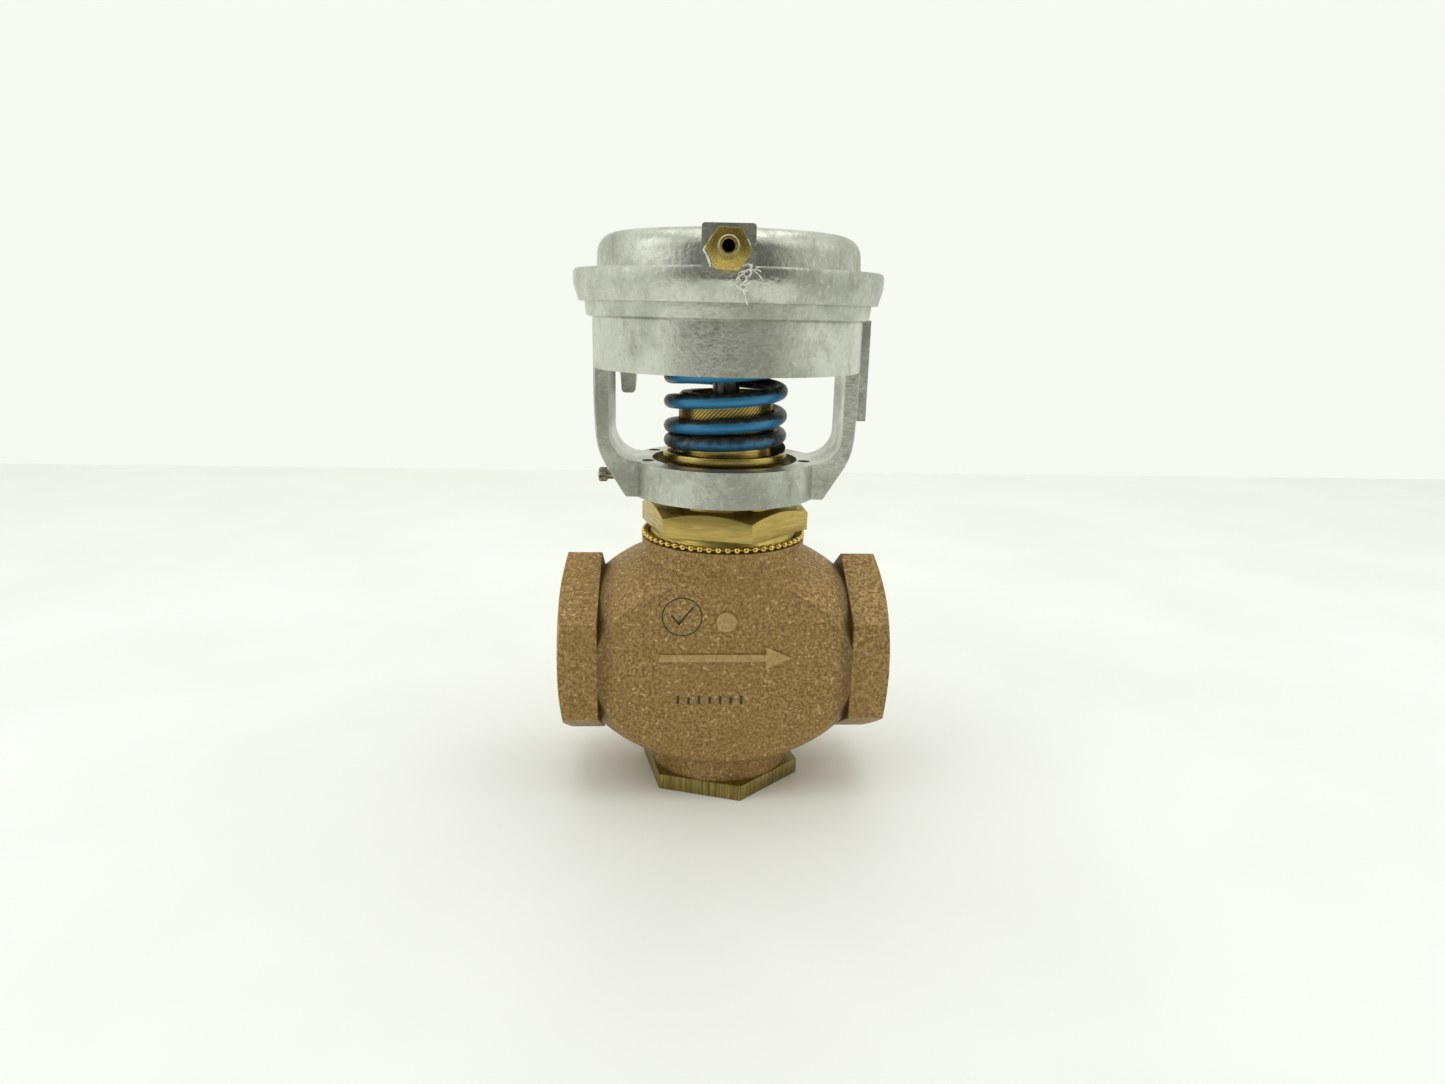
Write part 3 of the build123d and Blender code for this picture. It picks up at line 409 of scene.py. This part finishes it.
def make_finishes(colours):
    """All finishes by name."""
    return {
        "cast_bronze": cast_bronze(colours),
        "bonnet_brass": machined_brass("bonnet_brass", colours, (0.08, 0.08, 1), 0.34),
        "cap_brass": cap_brass(),
        "turned_brass": turned_brass("turned_brass", colours, 0.22),
        "sleeve_brass": turned_brass("sleeve_brass", colours, 0.30, knurl=True),
        "fitting_brass": machined_brass("fitting_brass", colours, (1, 0.1, 1), 0.30, dull=0.6),
        "die_cast_housing": die_cast("die_cast_housing", colours, 0.36),
        "die_cast_cover": die_cast("die_cast_cover", colours, 0.28, crimp=True),
        "spring_steel": spring_steel(colours),
        **{name: plain(name, *values) for name, values in PLAIN_FINISHES.items()},
    }


NODE_FINISH = {
    "cap_gasket": "gasket_fibre",
    "seat_ring": "stainless_steel",
    "bonnet_gasket": "gasket_fibre",
    "guide_bush": "white_ptfe",
    "packing_spring": "stainless_steel",
    "packing_washer": "stainless_steel",
    "packing_rings": "white_ptfe",
    "packing_follower": "turned_brass",
    "packing_nut": "turned_brass",
    "stem_wiper": "black_rubber",
    "chain_links": "chain_brass",
    "chain_connector": "chain_brass",
    "valve_stem": "shaded_stem_steel",
    "disc_holder": "turned_brass",
    "seal_disc": "black_rubber",
    "throttling_plug": "turned_brass",
    "piston": "die_cast_housing",
    "diaphragm_retainer": "stainless_steel",
    "piston_nut": "stainless_steel",
    "seal_tape": "white_ptfe",
}


def finish(name):
    """The material of that name, which the finishes operator has made."""
    return bpy.data.materials[name + FINISH_SUFFIX]


# ------------------------------------------------------------------ mesh helpers
def make_piece(name, bm, body, material, replaced=(), flat_faces=False):
    """Turn a finished bmesh into a piece that rides on a body."""
    mesh = bpy.data.meshes.new(name)
    bm.to_mesh(mesh)
    bm.free()
    mesh.shade_smooth()
    mesh.set_sharp_from_angle(angle=SMOOTH_ANGLE)
    mesh.materials.append(finish(material))
    piece = bpy.data.objects.new(name, mesh)
    bpy.context.scene.collection.objects.link(piece)
    if flat_faces:
        even = piece.modifiers.new("Even shading", "WEIGHTED_NORMAL")
        even.keep_sharp = True
        even.weight = 100
    if body:
        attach(piece, body)
    if replaced:
        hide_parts(*replaced)
    return piece


def face_out(bm):
    """Merge doubles, then turn every face outwards."""
    bmesh.ops.remove_doubles(bm, verts=bm.verts, dist=MERGE_DISTANCE)
    bmesh.ops.recalc_face_normals(bm, faces=bm.faces)


def merged_cad(node):
    """A bmesh copy of a CAD node with its loose triangles merged and its flat faces whole."""
    flat_within = math.radians(0.4)
    bm = bmesh.new()
    bm.from_mesh(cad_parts[node].data)
    bmesh.ops.remove_doubles(bm, verts=bm.verts, dist=MERGE_DISTANCE)
    bmesh.ops.dissolve_limit(
        bm, angle_limit=flat_within, verts=bm.verts, edges=bm.edges,
        use_dissolve_boundaries=False,
    )
    return bm


def break_edges(bm, width, chosen, segments=3):
    """Round the sharp edges that chosen() picks."""
    sharp = [
        e for e in bm.edges
        if len(e.link_faces) == 2 and e.calc_face_angle(0) > BEVEL_ANGLE and chosen(e)
    ]
    bmesh.ops.bevel(
        bm, geom=sharp, offset=width, offset_type="OFFSET", segments=segments, profile=0.5,
        affect="EDGES", clamp_overlap=True, material=-1,
    )


def chamfer_corners(bm, end, centre_z, start_radius, slope, planes=60):
    """Turn a chamfer on the hexagon corners at both ends, as many flat cuts round the port axis."""
    end_zone, least_cut, cut_accuracy = 0.93, 0.001 * MM, 0.0005 * MM
    for side in (-1, 1):
        for k in range(planes):
            angle = math.tau * k / planes
            spoke = Vector((0, math.cos(angle), math.sin(angle)))
            corner = Vector((side * end, 0, centre_z)) + spoke * start_radius
            normal = Vector((side * math.cos(slope), 0, 0)) + spoke * math.sin(slope)
            near = {v for v in bm.verts if v.co.x * side > end * end_zone}
            if not any((v.co - corner).dot(normal) > least_cut for v in near):
                continue
            edges = {e for v in near for e in v.link_edges}
            faces = {f for v in near for f in v.link_faces}
            around = {v for f in faces for v in f.verts}
            cut = bmesh.ops.bisect_plane(
                bm, geom=[*around, *edges, *faces], dist=cut_accuracy, plane_co=corner,
                plane_no=normal, clear_outer=True,
            )
            bmesh.ops.holes_fill(bm, edges=open_edges(cut))


def open_edges(cut):
    """The edges that a cut has left open."""
    return [g for g in cut["geom_cut"] if isinstance(g, bmesh.types.BMEdge) and g.is_boundary]


def spun(bm, profile, steps, closed=False):
    """Spin a profile of (radius, height) in millimetres round the Z axis."""
    verts = [bm.verts.new((r * MM, 0, z * MM)) for r, z in profile]
    pairs = list(zip(verts, verts[1:]))
    if closed:
        pairs.append((verts[-1], verts[0]))
    edges = [bm.edges.new(p) for p in pairs]
    bmesh.ops.spin(
        bm, geom=verts + edges, cent=(0, 0, 0), axis=(0, 0, 1), angle=math.tau, steps=steps,
        use_merge=True,
    )


def strand(name, points, radius, seed, wobble):
    """A thin twisted shred near points in millimetres, as a mesh."""
    thinnest, thickest = 0.55, 1.25
    chance = Random(seed)
    curve = bpy.data.curves.new(name, "CURVE")
    curve.dimensions = "3D"
    curve.bevel_depth = radius * MM
    curve.bevel_resolution = 2
    curve.resolution_u = 6
    spline = curve.splines.new("NURBS")
    spline.points.add(len(points) - 1)
    for point, place in zip(spline.points, points):
        shaken = [c + chance.uniform(-wobble, wobble) for c in place]
        point.co = (*(c * MM for c in shaken), 1)
        point.radius = chance.uniform(thinnest, thickest)
    spline.use_endpoint_u = True
    spline.order_u = 3
    holder = bpy.data.objects.new(name, curve)
    mesh = bpy.data.meshes.new_from_object(holder)
    bpy.data.objects.remove(holder)
    return mesh


# ------------------------------------------------------------------ operators
class VALVE_OT_finishes(bpy.types.Operator):
    """Make the finishes and give them to the CAD nodes that stay visible"""

    bl_idname = "valve.finishes"
    bl_label = "Finishes"

    def execute(self, context):
        finishes = make_finishes(context.scene.valve_colours)
        for node, name in NODE_FINISH.items():
            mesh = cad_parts[node].data
            mesh.materials.clear()
            mesh.materials.append(finishes[name])
        return {"FINISHED"}


class VALVE_OT_body(bpy.types.Operator):
    """Cast bronze body with soft hexagon edges and ports opened to the thread's root"""

    bl_idname = "valve.body"
    bl_label = "Body casting"

    def execute(self, context):
        sizes = context.scene.valve_sizes
        bm = merged_cad("valve_body")
        bore_r, bore_in, bore_out = PORT_BORE_R * MM, 40.4 * MM, 56.7 * MM
        hexagon_in, hexagon_r, end = 43.9 * MM, 27 * MM, 58.5 * MM
        chamfer_r, chamfer_slope = 28.0 * MM, math.radians(14)

        def from_axis(v):
            return math.hypot(v.co.y, v.co.z - PORT_AXIS_Z * MM)

        for v in bm.verts:
            if abs(from_axis(v) - bore_r) < 0.02 * MM and bore_in < abs(v.co.x) < bore_out:
                grown = sizes.thread_root / bore_r
                v.co.y *= grown
                v.co.z = PORT_AXIS_Z * MM + (v.co.z - PORT_AXIS_Z * MM) * grown

        def on_hexagon(edge):
            return all(abs(v.co.x) > hexagon_in and from_axis(v) > hexagon_r for v in edge.verts)

        break_edges(bm, sizes.cast_edge, on_hexagon)
        chamfer_corners(bm, end, PORT_AXIS_Z * MM, chamfer_r, chamfer_slope)
        make_piece(
            "body_casting", bm, "valve", "cast_bronze", ["valve_body"],
            flat_faces=True,
        )
        return {"FINISHED"}


class VALVE_OT_threads(bpy.types.Operator):
    """Right-hand pipe threads in both ports"""

    bl_idname = "valve.threads"
    bl_label = "Port threads"

    def execute(self, context):
        sizes = context.scene.valve_sizes
        pitch, root, crest = sizes.thread_pitch, sizes.thread_root, PORT_BORE_R * MM
        steps_a_turn, turns, inner_end = 56, 7, 40.6 * MM
        ridge = ((0, root), (0.42, crest), (0.58, crest), (1, root))
        for name, start in (
            ("inlet_thread", -inner_end - turns * pitch),
            ("outlet_thread", inner_end),
        ):
            bm = bmesh.new()
            verts = [
                bm.verts.new((start + share * pitch, 0, PORT_AXIS_Z * MM + radius))
                for share, radius in ridge
            ]
            edges = [bm.edges.new(pair) for pair in zip(verts, verts[1:])]
            bmesh.ops.spin(
                bm, geom=verts + edges, cent=(0, 0, PORT_AXIS_Z * MM), axis=(1, 0, 0),
                dvec=(pitch / steps_a_turn, 0, 0), angle=math.tau * (turns - 1),
                steps=steps_a_turn * (turns - 1),
            )
            bmesh.ops.remove_doubles(bm, verts=bm.verts, dist=0.01 * MM)
            for face in bm.faces:
                middle = face.calc_center_median()
                to_axis = Vector((0, -middle.y, PORT_AXIS_Z * MM - middle.z))
                if face.normal.dot(to_axis) < 0:
                    face.normal_flip()
            make_piece(name, bm, "valve", "cut_bronze")
        return {"FINISHED"}


class VALVE_OT_brass(bpy.types.Operator):
    """Bonnet, bottom cap, yoke nut, spring seat and air fitting with broken edges, and the chain
    beads
    """

    bl_idname = "valve.brass"
    bl_label = "Brass pieces"

    def execute(self, context):
        edge = context.scene.valve_sizes.brass_edge
        pieces = (
            ("bonnet_turned", "bonnet", "valve", "machined_brass", "bonnet_brass", edge * 1.6),
            ("cap_milled", "bottom_cap", "valve", "machined_brass", "cap_brass", edge * 2),
            ("yoke_nut_turned", "yoke_nut", "valve", "machined_brass", "turned_brass", edge),
            (
                "spring_seat_turned", "spring_seat", "spring_seat",
                "machined_brass", "turned_brass", edge,
            ),
            (
                "air_fitting_turned", "air_fitting", "actuator",
                "machined_brass", "fitting_brass", edge * 0.6,
            ),
            ("chain_beads_pressed", "chain_beads", "valve", "chain_brass", "chain_brass", 0),
        )
        for name, node, body, slot, material, width in pieces:
            bm = merged_cad(node)
            if width:
                break_edges(bm, width, lambda e: True, segments=2)
            make_piece(name, bm, body, material, [node])
        return {"FINISHED"}


class VALVE_OT_castings(bpy.types.Operator):
    """Aluminium yoke housing and cover with soft cast edges"""

    bl_idname = "valve.castings"
    bl_label = "Aluminium castings"

    def execute(self, context):
        edge = context.scene.valve_sizes.housing_edge
        for name, node, material in (
            ("housing_casting", "yoke_housing", "die_cast_housing"),
            ("cover_casting", "cover", "die_cast_cover"),
        ):
            bm = merged_cad(node)
            break_edges(bm, edge, lambda e: True)
            make_piece(
                name, bm, "actuator", material, [node], flat_faces=True
            )
        return {"FINISHED"}


class VALVE_OT_spring(bpy.types.Operator):
    """Return spring with closed, ground ends and a sprayed stripe on its front"""

    bl_idname = "valve.spring"
    bl_label = "Return spring"

    def execute(self, context):
        sizes = context.scene.valve_sizes
        wire_r = sizes.wire / 2
        coil_r = sizes.spring_outside / 2 - wire_r
        start_z, floor_z, top_z = 124.6 * MM, 124.05 * MM, 180.45 * MM
        # the wire's rise in each half turn, in millimetres
        half_turns = (2.7, 2.35, 2.75, *[4.3] * 9, 3.1, 2.85, 2.8)
        steps, around = 28, 20
        bm = bmesh.new()
        section = Matrix.Translation((coil_r, 0, start_z)) @ Matrix.Rotation(math.pi / 2, 4, "X")
        made = bmesh.ops.create_circle(bm, segments=around, radius=wire_r, matrix=section)
        ring = made["verts"] + list({e for v in made["verts"] for e in v.link_edges})
        for rise in half_turns:
            turned = bmesh.ops.spin(
                bm, geom=ring, cent=(0, 0, 0), axis=(0, 0, 1), dvec=(0, 0, rise * MM / steps),
                angle=math.pi, steps=steps,
            )
            ring = turned["geom_last"]
        bmesh.ops.holes_fill(bm, edges=[e for e in bm.edges if e.is_boundary], sides=around)
        face_out(bm)
        self.spray(bm, half_turns, start_z, coil_r, wire_r)
        for height, normal in ((floor_z, (0, 0, -1)), (top_z, (0, 0, 1))):
            cut = bmesh.ops.bisect_plane(
                bm, geom=bm.verts[:] + bm.edges[:] + bm.faces[:], plane_co=(0, 0, height),
                plane_no=normal, clear_outer=True,
            )
            bmesh.ops.holes_fill(bm, edges=open_edges(cut))
        piece = make_piece(
            "return_spring_coil", bm, "spring_seat", "spring_steel",
            ["return_spring"],
        )
        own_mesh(piece)
        return {"FINISHED"}

    def spray(self, bm, half_turns, start_z, coil_r, wire_r):
        """The stripe, sprayed at the front from a little below: thinner on the lowest coils."""
        half_stripe = 1.42
        from_front, from_below = 0.62, 0.78
        thin_z, thin_height, thinnest = 128.5 * MM, 4 * MM, 0.55
        gain, overspray = 1.25, 0.25
        paint = bm.verts.layers.float.new("paint")
        for v in bm.verts:
            angle = math.atan2(v.co.x, -v.co.y)
            out = math.hypot(v.co.x, v.co.y) - coil_r
            down = -(v.co.z - self.wire_height(v, half_turns, start_z)) / wire_r
            facing = from_front * out / wire_r + from_below * down
            height = min(1, max(0, (v.co.z - thin_z) / thin_height))
            side = max(0, 1 - (abs(angle) / half_stripe) ** 3)
            coat = thinnest + 0.45 * height
            v[paint] = max(0, min(1, gain * facing + overspray)) * side * coat

    @staticmethod
    def wire_height(v, half_turns, start_z):
        """Height of the wire's centre nearest to a point on its skin."""
        angle = math.atan2(v.co.y, v.co.x) % math.tau
        best, height = None, start_z
        for i, rise in enumerate(half_turns):
            share = (angle - (i % 2) * math.pi) / math.pi
            if 0 <= share <= 1:
                centre = height + share * rise * MM
                if best is None or abs(v.co.z - centre) < abs(v.co.z - best):
                    best = centre
            height += rise * MM
        return best if best is not None else start_z


class VALVE_OT_sleeve(bpy.types.Operator):
    """Adjusting sleeve with a diamond knurl"""

    bl_idname = "valve.sleeve"
    bl_label = "Adjusting sleeve"

    def execute(self, context):
        sizes = context.scene.valve_sizes
        outside, knurl_low, knurl_high, rows = 16.7, 131.6, 142.9, 16
        inside_skin = 16.6
        knurled = [
            (outside, knurl_low + i * (knurl_high - knurl_low) / rows) for i in range(rows + 1)
        ]
        profile = [
            (11.05, 117.5), (18.2, 117.5), (18.5, 117.8), (18.5, 119.8), (18.2, 120.05),
            (outside, 120.05), (outside, 129.6), (16.4, 129.9), (16.4, 131.3),
            *knurled, (outside, 143.6), (15.8, 144.5), (12.3, 144.5), (12.0, 144.2), (12.0, 129.5),
            (11.05, 129.5), (11.05, 117.5),
        ]
        bm = bmesh.new()
        spun(bm, profile, sizes.knurl_teeth * 2)
        face_out(bm)
        row_height = (knurl_high - knurl_low) / rows
        for v in bm.verts:
            row = (v.co.z / MM - knurl_low) / row_height
            radius = math.hypot(v.co.x, v.co.y)
            if radius < inside_skin * MM or row < -0.5 or row > rows + 0.5:
                continue
            angle = math.atan2(v.co.y, v.co.x) % math.tau
            column = round(angle / math.tau * sizes.knurl_teeth * 2)
            if (round(row) + column) % 2:
                inwards = 1 - sizes.knurl_depth / radius
                v.co.x *= inwards
                v.co.y *= inwards
        make_piece(
            "knurled_sleeve", bm, "adjuster", "sleeve_brass", ["adjusting_sleeve"]
        )
        return {"FINISHED"}


class VALVE_OT_lock_screw(bpy.types.Operator):
    """Lock screw with a knurled head and a hexagon socket"""

    bl_idname = "valve.lock_screw"
    bl_label = "Lock screw"

    def execute(self, context):
        teeth, groove_share = 22, 0.92
        head_r, socket_half, socket_deep = 2.6, 1.25, 1.8
        head_x, height = -45.3, 114.1
        on_skin = 0.02 * MM
        profile = [
            (0, socket_deep), (socket_half, socket_deep), (socket_half, 0), (2.25, 0),
            (head_r, 0.35), (head_r, 2.6), (2.3, 3.0), (1.7, 3.0), (1.7, 19.6), (1.4, 19.9),
            (0, 19.9),
        ]
        bm = bmesh.new()
        spun(bm, profile, teeth * 2)
        face_out(bm)
        for v in bm.verts:
            radius, angle = math.hypot(v.co.x, v.co.y), math.atan2(v.co.y, v.co.x)
            if abs(radius - head_r * MM) < on_skin:
                groove = groove_share if round(angle / math.tau * teeth * 2) % 2 else 1.0
                v.co.x *= groove
                v.co.y *= groove
            elif abs(radius - socket_half * MM) < on_skin and v.co.z < (socket_deep + 0.1) * MM:
                flat = (angle % (math.tau / 6)) - math.tau / 12
                v.co.x /= math.cos(flat)
                v.co.y /= math.cos(flat)
        lay = ACTUATOR_TURN @ Matrix.Translation((head_x * MM, 0, height * MM))
        bmesh.ops.transform(bm, matrix=lay @ Matrix.Rotation(math.pi / 2, 4, "Y"), verts=bm.verts)
        make_piece(
            "lock_screw_knurled", bm, "actuator", "nickel_plate", ["lock_screw"]
        )
        return {"FINISHED"}


class VALVE_OT_diaphragm(bpy.types.Operator):
    """Rolling diaphragm whose bead sits in the flange"""

    bl_idname = "valve.diaphragm"
    bl_label = "Diaphragm"

    def execute(self, context):
        hole, inner, outer, thick = 4.05, 37.6, 41.9, 1.5
        roll_z, middle = 176.0, 39.75
        bead_r, bead_low, bead_high = 49.8, 179.0, 181.0
        wall = (178, 180, 181.2, 181.9, 182.6, 183.3, 184.0)

        def roll(radius, side):
            turns = [math.pi * i / 10 for i in range(11)]
            return [
                (middle + side * radius * math.cos(t), roll_z - radius * math.sin(t)) for t in turns
            ]

        profile = [
            (hole, 184.5), (20, 184.5), (inner, 184.5), *[(inner, z) for z in reversed(wall)],
            *roll(2.15, -1), (outer, 178), (outer, bead_low), (bead_r, bead_low),
            (bead_r, bead_high), (outer - thick, bead_high), (outer - thick, 178),
            *roll(0.65, 1), *[(inner + thick, z) for z in wall],
            (inner + thick, 186.0), (20, 186.0), (hole, 186.0),
        ]
        bm = bmesh.new()
        spun(bm, profile, 96, closed=True)
        face_out(bm)
        piece = make_piece(
            "diaphragm_moulded", bm, None, "black_rubber", ["diaphragm"]
        )
        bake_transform(piece)
        return {"FINISHED"}


class VALVE_OT_tape_shreds(bpy.types.Operator):
    """Shreds of white thread tape round the air fitting"""

    bl_idname = "valve.tape_shreds"
    bl_label = "Tape shreds"

    def execute(self, context):
        # each shred's path in front of the fitting's face, and its radius
        strands = (
            (((-4.6, 192.6), (-5.9, 191.0), (-6.6, 189.4), (-7.2, 188.6),
              (-6.2, 187.8), (-5.4, 186.4), (-4.6, 185.2), (-3.6, 184.2)), 0.20),
            (((-6.4, 190.0), (-7.1, 189.0), (-6.5, 188.0), (-5.7, 186.8), (-4.8, 184.6)), 0.24),
            (((4.4, 191.8), (5.3, 192.4), (5.7, 190.8), (6.2, 190.0), (5.6, 189.0)), 0.16),
            (((3.4, 184.2), (5.0, 185.2), (6.4, 185.0),
              (6.9, 184.0), (5.4, 183.4), (3.6, 183.2)), 0.24),
            (((6.6, 185.2), (5.6, 184.0), (6.6, 182.6),
              (4.4, 181.6), (5.8, 180.4), (3.2, 180.2)), 0.26),
            (((3.8, 183.8), (2.6, 182.2), (3.8, 180.8),
              (2.4, 179.8), (4.2, 179.0), (6.4, 180.2)), 0.24),
            (((6.8, 184.6), (4.8, 182.8), (3.0, 181.6),
              (2.2, 180.0), (3.8, 178.4), (5.2, 177.8)), 0.26),
            (((4.2, 182.6), (5.6, 181.6), (4.6, 180.0),
              (3.0, 179.0), (4.6, 178.0), (5.0, 176.6)), 0.22),
            (((5.4, 184.2), (7.4, 183.6), (8.8, 182.6), (9.8, 181.4)), 0.14),
            (((6.2, 183.4), (8.0, 183.9), (9.2, 183.2)), 0.12),
            (((4.6, 178.4), (5.2, 176.8), (5.1, 175.4), (5.7, 173.9)), 0.16),
            (((2.6, 181.0), (1.6, 180.2), (2.2, 178.9), (3.4, 178.3)), 0.18),
        )
        face_y, wobble, plump, first_seed = -52.35 - 0.45, 0.28, 1.35, 11
        bm = bmesh.new()
        for i, (path, radius) in enumerate(strands):
            # a few depths, so that the shreds pass in front of one another
            points = [
                (x, face_y - 0.55 * (k % 3) - 0.25 * (i % 4), z) for k, (x, z) in enumerate(path)
            ]
            mesh = strand("shred", points, radius * plump, first_seed + i, wobble)
            bm.from_mesh(mesh)
            bpy.data.meshes.remove(mesh)
        bmesh.ops.holes_fill(bm, edges=[e for e in bm.edges if e.is_boundary], sides=0)
        face_out(bm)
        bmesh.ops.transform(bm, matrix=COVER_TURN, verts=bm.verts)
        make_piece("tape_shreds", bm, "actuator", "white_ptfe")
        return {"FINISHED"}


class VALVE_OT_ink(bpy.types.Operator):
    """Plain inspection stamp, a ring with a tick, and a row of bars on the front flat"""

    bl_idname = "valve.ink"
    bl_label = "Ink marks"

    def execute(self, context):
        tick, tick_width = ((-18.6, 71.2), (-16.2, 68.4), (-11.6, 74.2)), 0.75
        bars, first_x, step, low, high, bar_width = 7, -16.4, 3.7, 39.1, 41.4, 1.0
        thickness = 0.05 * MM
        bm = bmesh.new()
        self.ring(bm, (-15.2, 70.9), 7.0, 6.55)
        for a, b in zip(tick, tick[1:]):
            self.stroke(bm, a, b, tick_width)
        for i in range(bars):
            x = first_x + i * step
            self.stroke(bm, (x, low), (x, high - 0.5 * (i % 2)), bar_width)
        made = bmesh.ops.extrude_face_region(bm, geom=bm.faces[:])
        raised = [g for g in made["geom"] if isinstance(g, bmesh.types.BMVert)]
        bmesh.ops.translate(bm, vec=(0, -thickness, 0), verts=raised)
        bmesh.ops.recalc_face_normals(bm, faces=bm.faces)
        make_piece("ink_marks", bm, "valve", "ink")
        return {"FINISHED"}

    @staticmethod
    def lay(x, z):
        """Lays a drawing on the front flat, just clear of it."""
        clear = 0.01
        place = Matrix.Translation((x * MM, (FLAT_Y - clear) * MM, z * MM))
        return place @ Matrix.Rotation(math.pi / 2, 4, "X")

    def ring(self, bm, middle, outer, inner):
        place = self.lay(*middle)
        loops = [
            bmesh.ops.create_circle(bm, segments=72, radius=r * MM, matrix=place)["verts"]
            for r in (outer, inner)
        ]
        edges = list({e for loop in loops for v in loop for e in v.link_edges})
        bmesh.ops.bridge_loops(bm, edges=edges)

    def stroke(self, bm, a, b, width):
        """A straight bar between two points, with rounded ends."""
        run = Vector((b[0] - a[0], b[1] - a[1]))
        circle = bmesh.ops.create_circle(bm, cap_ends=True, segments=16, radius=width / 2 * MM)
        made = circle["verts"]
        for v in made:
            if v.co.x > 0:
                v.co.x += run.length * MM
        turn = Matrix.Rotation(math.atan2(run.y, run.x), 4, "Z")
        bmesh.ops.transform(bm, matrix=self.lay(*a) @ turn, verts=made)


class VALVE_OT_stage(bpy.types.Operator):
    """Floor, soft studio light and camera"""

    bl_idname = "valve.stage"
    bl_label = "Stage"

    def execute(self, context):
        studio = context.scene.valve_colours.studio
        half_floor, floor_y, aim_z = 1.6, -0.95, 0.1
        bm = bmesh.new()
        bmesh.ops.create_grid(bm, x_segments=8, y_segments=8, size=half_floor)
        bmesh.ops.translate(bm, vec=(0, floor_y, 0), verts=bm.verts)
        mesh = bpy.data.meshes.new("floor")
        bm.to_mesh(mesh)
        bm.free()
        mesh.materials.append(
            plain("floor", (0.90, 0.905, 0.88), (0.93, 0.935, 0.91), 0.0, 0.55, 9, 0.0)
        )
        floor = bpy.data.objects.new("floor", mesh)
        context.scene.collection.objects.link(floor)
        self.world(context, studio)
        for name, place, size, power in (
            ("left_box", (-0.75, -0.35, 0.55), 0.7, 0.9),
            ("right_box", (0.80, -0.25, 0.60), 0.7, 0.8),
            ("top_box", (0.0, 0.05, 1.10), 0.9, 2.2),
        ):
            light = bpy.data.lights.new(name, "AREA")
            light.size, light.energy = size, power
            holder = bpy.data.objects.new(name, light)
            holder.location = place
            aim = Vector((0, 0, aim_z)) - holder.location
            holder.rotation_euler = aim.to_track_quat("-Z", "Y").to_euler()
            context.scene.collection.objects.link(holder)
        self.camera(context)
        context.scene.view_settings.view_transform = "Standard"
        return {"FINISHED"}

    @staticmethod
    def world(context, studio):
        """A pale tent all round, darker where it is open behind the camera."""
        open_from, open_to, dark = -0.45, -0.85, (0.14, 0.145, 0.13)
        world = bpy.data.worlds.new("studio")
        context.scene.world = world
        world.use_nodes = True
        nodes, links = world.node_tree.nodes, world.node_tree.links
        direction = nodes.new("ShaderNodeTexCoord").outputs["Generated"]
        split = nodes.new("ShaderNodeSeparateXYZ")
        links.new(direction, split.inputs[0])
        opening = nodes.new("ShaderNodeMapRange")
        opening.interpolation_type = "SMOOTHSTEP"
        for socket, value in zip(opening.inputs[1:], (open_from, open_to, 0.0, 1.0)):
            socket.default_value = value
        links.new(split.outputs["Y"], opening.inputs[0])
        tint = nodes.new("ShaderNodeMix")
        tint.data_type = "RGBA"
        links.new(opening.outputs[0], tint.inputs[0])
        tint.inputs[6].default_value = (*studio, 1)
        tint.inputs[7].default_value = (*dark, 1)
        links.new(tint.outputs[2], nodes["Background"].inputs["Color"])

    @staticmethod
    def camera(context):
        """Level with the actuator, a little above and in front, looking slightly down."""
        pitch, roll, yaw = math.radians(14.645), math.radians(1.2445), math.radians(-3.52)
        place = Matrix.Translation((-0.01952, -0.31619, 0.17212))
        look = Matrix.Rotation(yaw, 4, "Z") @ Matrix.Rotation(math.pi / 2 - pitch, 4, "X")
        data = bpy.data.cameras.new("camera")
        data.lens, data.sensor_width = 22.011, 36
        camera = bpy.data.objects.new("camera", data)
        camera.matrix_world = place @ look @ Matrix.Rotation(roll, 4, "Z")
        context.scene.collection.objects.link(camera)
        context.scene.camera = camera


class VALVE_PT_panel(bpy.types.Panel):
    """The valve's pieces"""

    bl_idname = "VALVE_PT_panel"
    bl_label = "Globe Control Valve"
    bl_space_type = "VIEW_3D"
    bl_region_type = "UI"
    bl_category = "Valve"

    def draw(self, context):
        for group in (context.scene.valve_sizes, context.scene.valve_colours):
            column = self.layout.column(align=True)
            for name in group.__annotations__:
                column.prop(group, name)
        column = self.layout.column(align=True)
        for operator in OPERATORS:
            column.operator(operator.bl_idname)


OPERATORS = (
    VALVE_OT_finishes, VALVE_OT_body, VALVE_OT_threads, VALVE_OT_brass, VALVE_OT_castings,
    VALVE_OT_spring, VALVE_OT_sleeve, VALVE_OT_lock_screw, VALVE_OT_diaphragm,
    VALVE_OT_tape_shreds, VALVE_OT_ink, VALVE_OT_stage,
)
CLASSES = (ValveSizes, ValveColours, *OPERATORS, VALVE_PT_panel)


def register():
    for cls in CLASSES:
        bpy.utils.register_class(cls)
    bpy.types.Scene.valve_sizes = PointerProperty(type=ValveSizes)
    bpy.types.Scene.valve_colours = PointerProperty(type=ValveColours)


def unregister():
    del bpy.types.Scene.valve_colours
    del bpy.types.Scene.valve_sizes
    for cls in reversed(CLASSES):
        bpy.utils.unregister_class(cls)


def main():
    register()
    for operator in OPERATORS:
        group, name = operator.bl_idname.split(".")
        getattr(getattr(bpy.ops, group), name)()


if __name__ == "__main__":
    main()
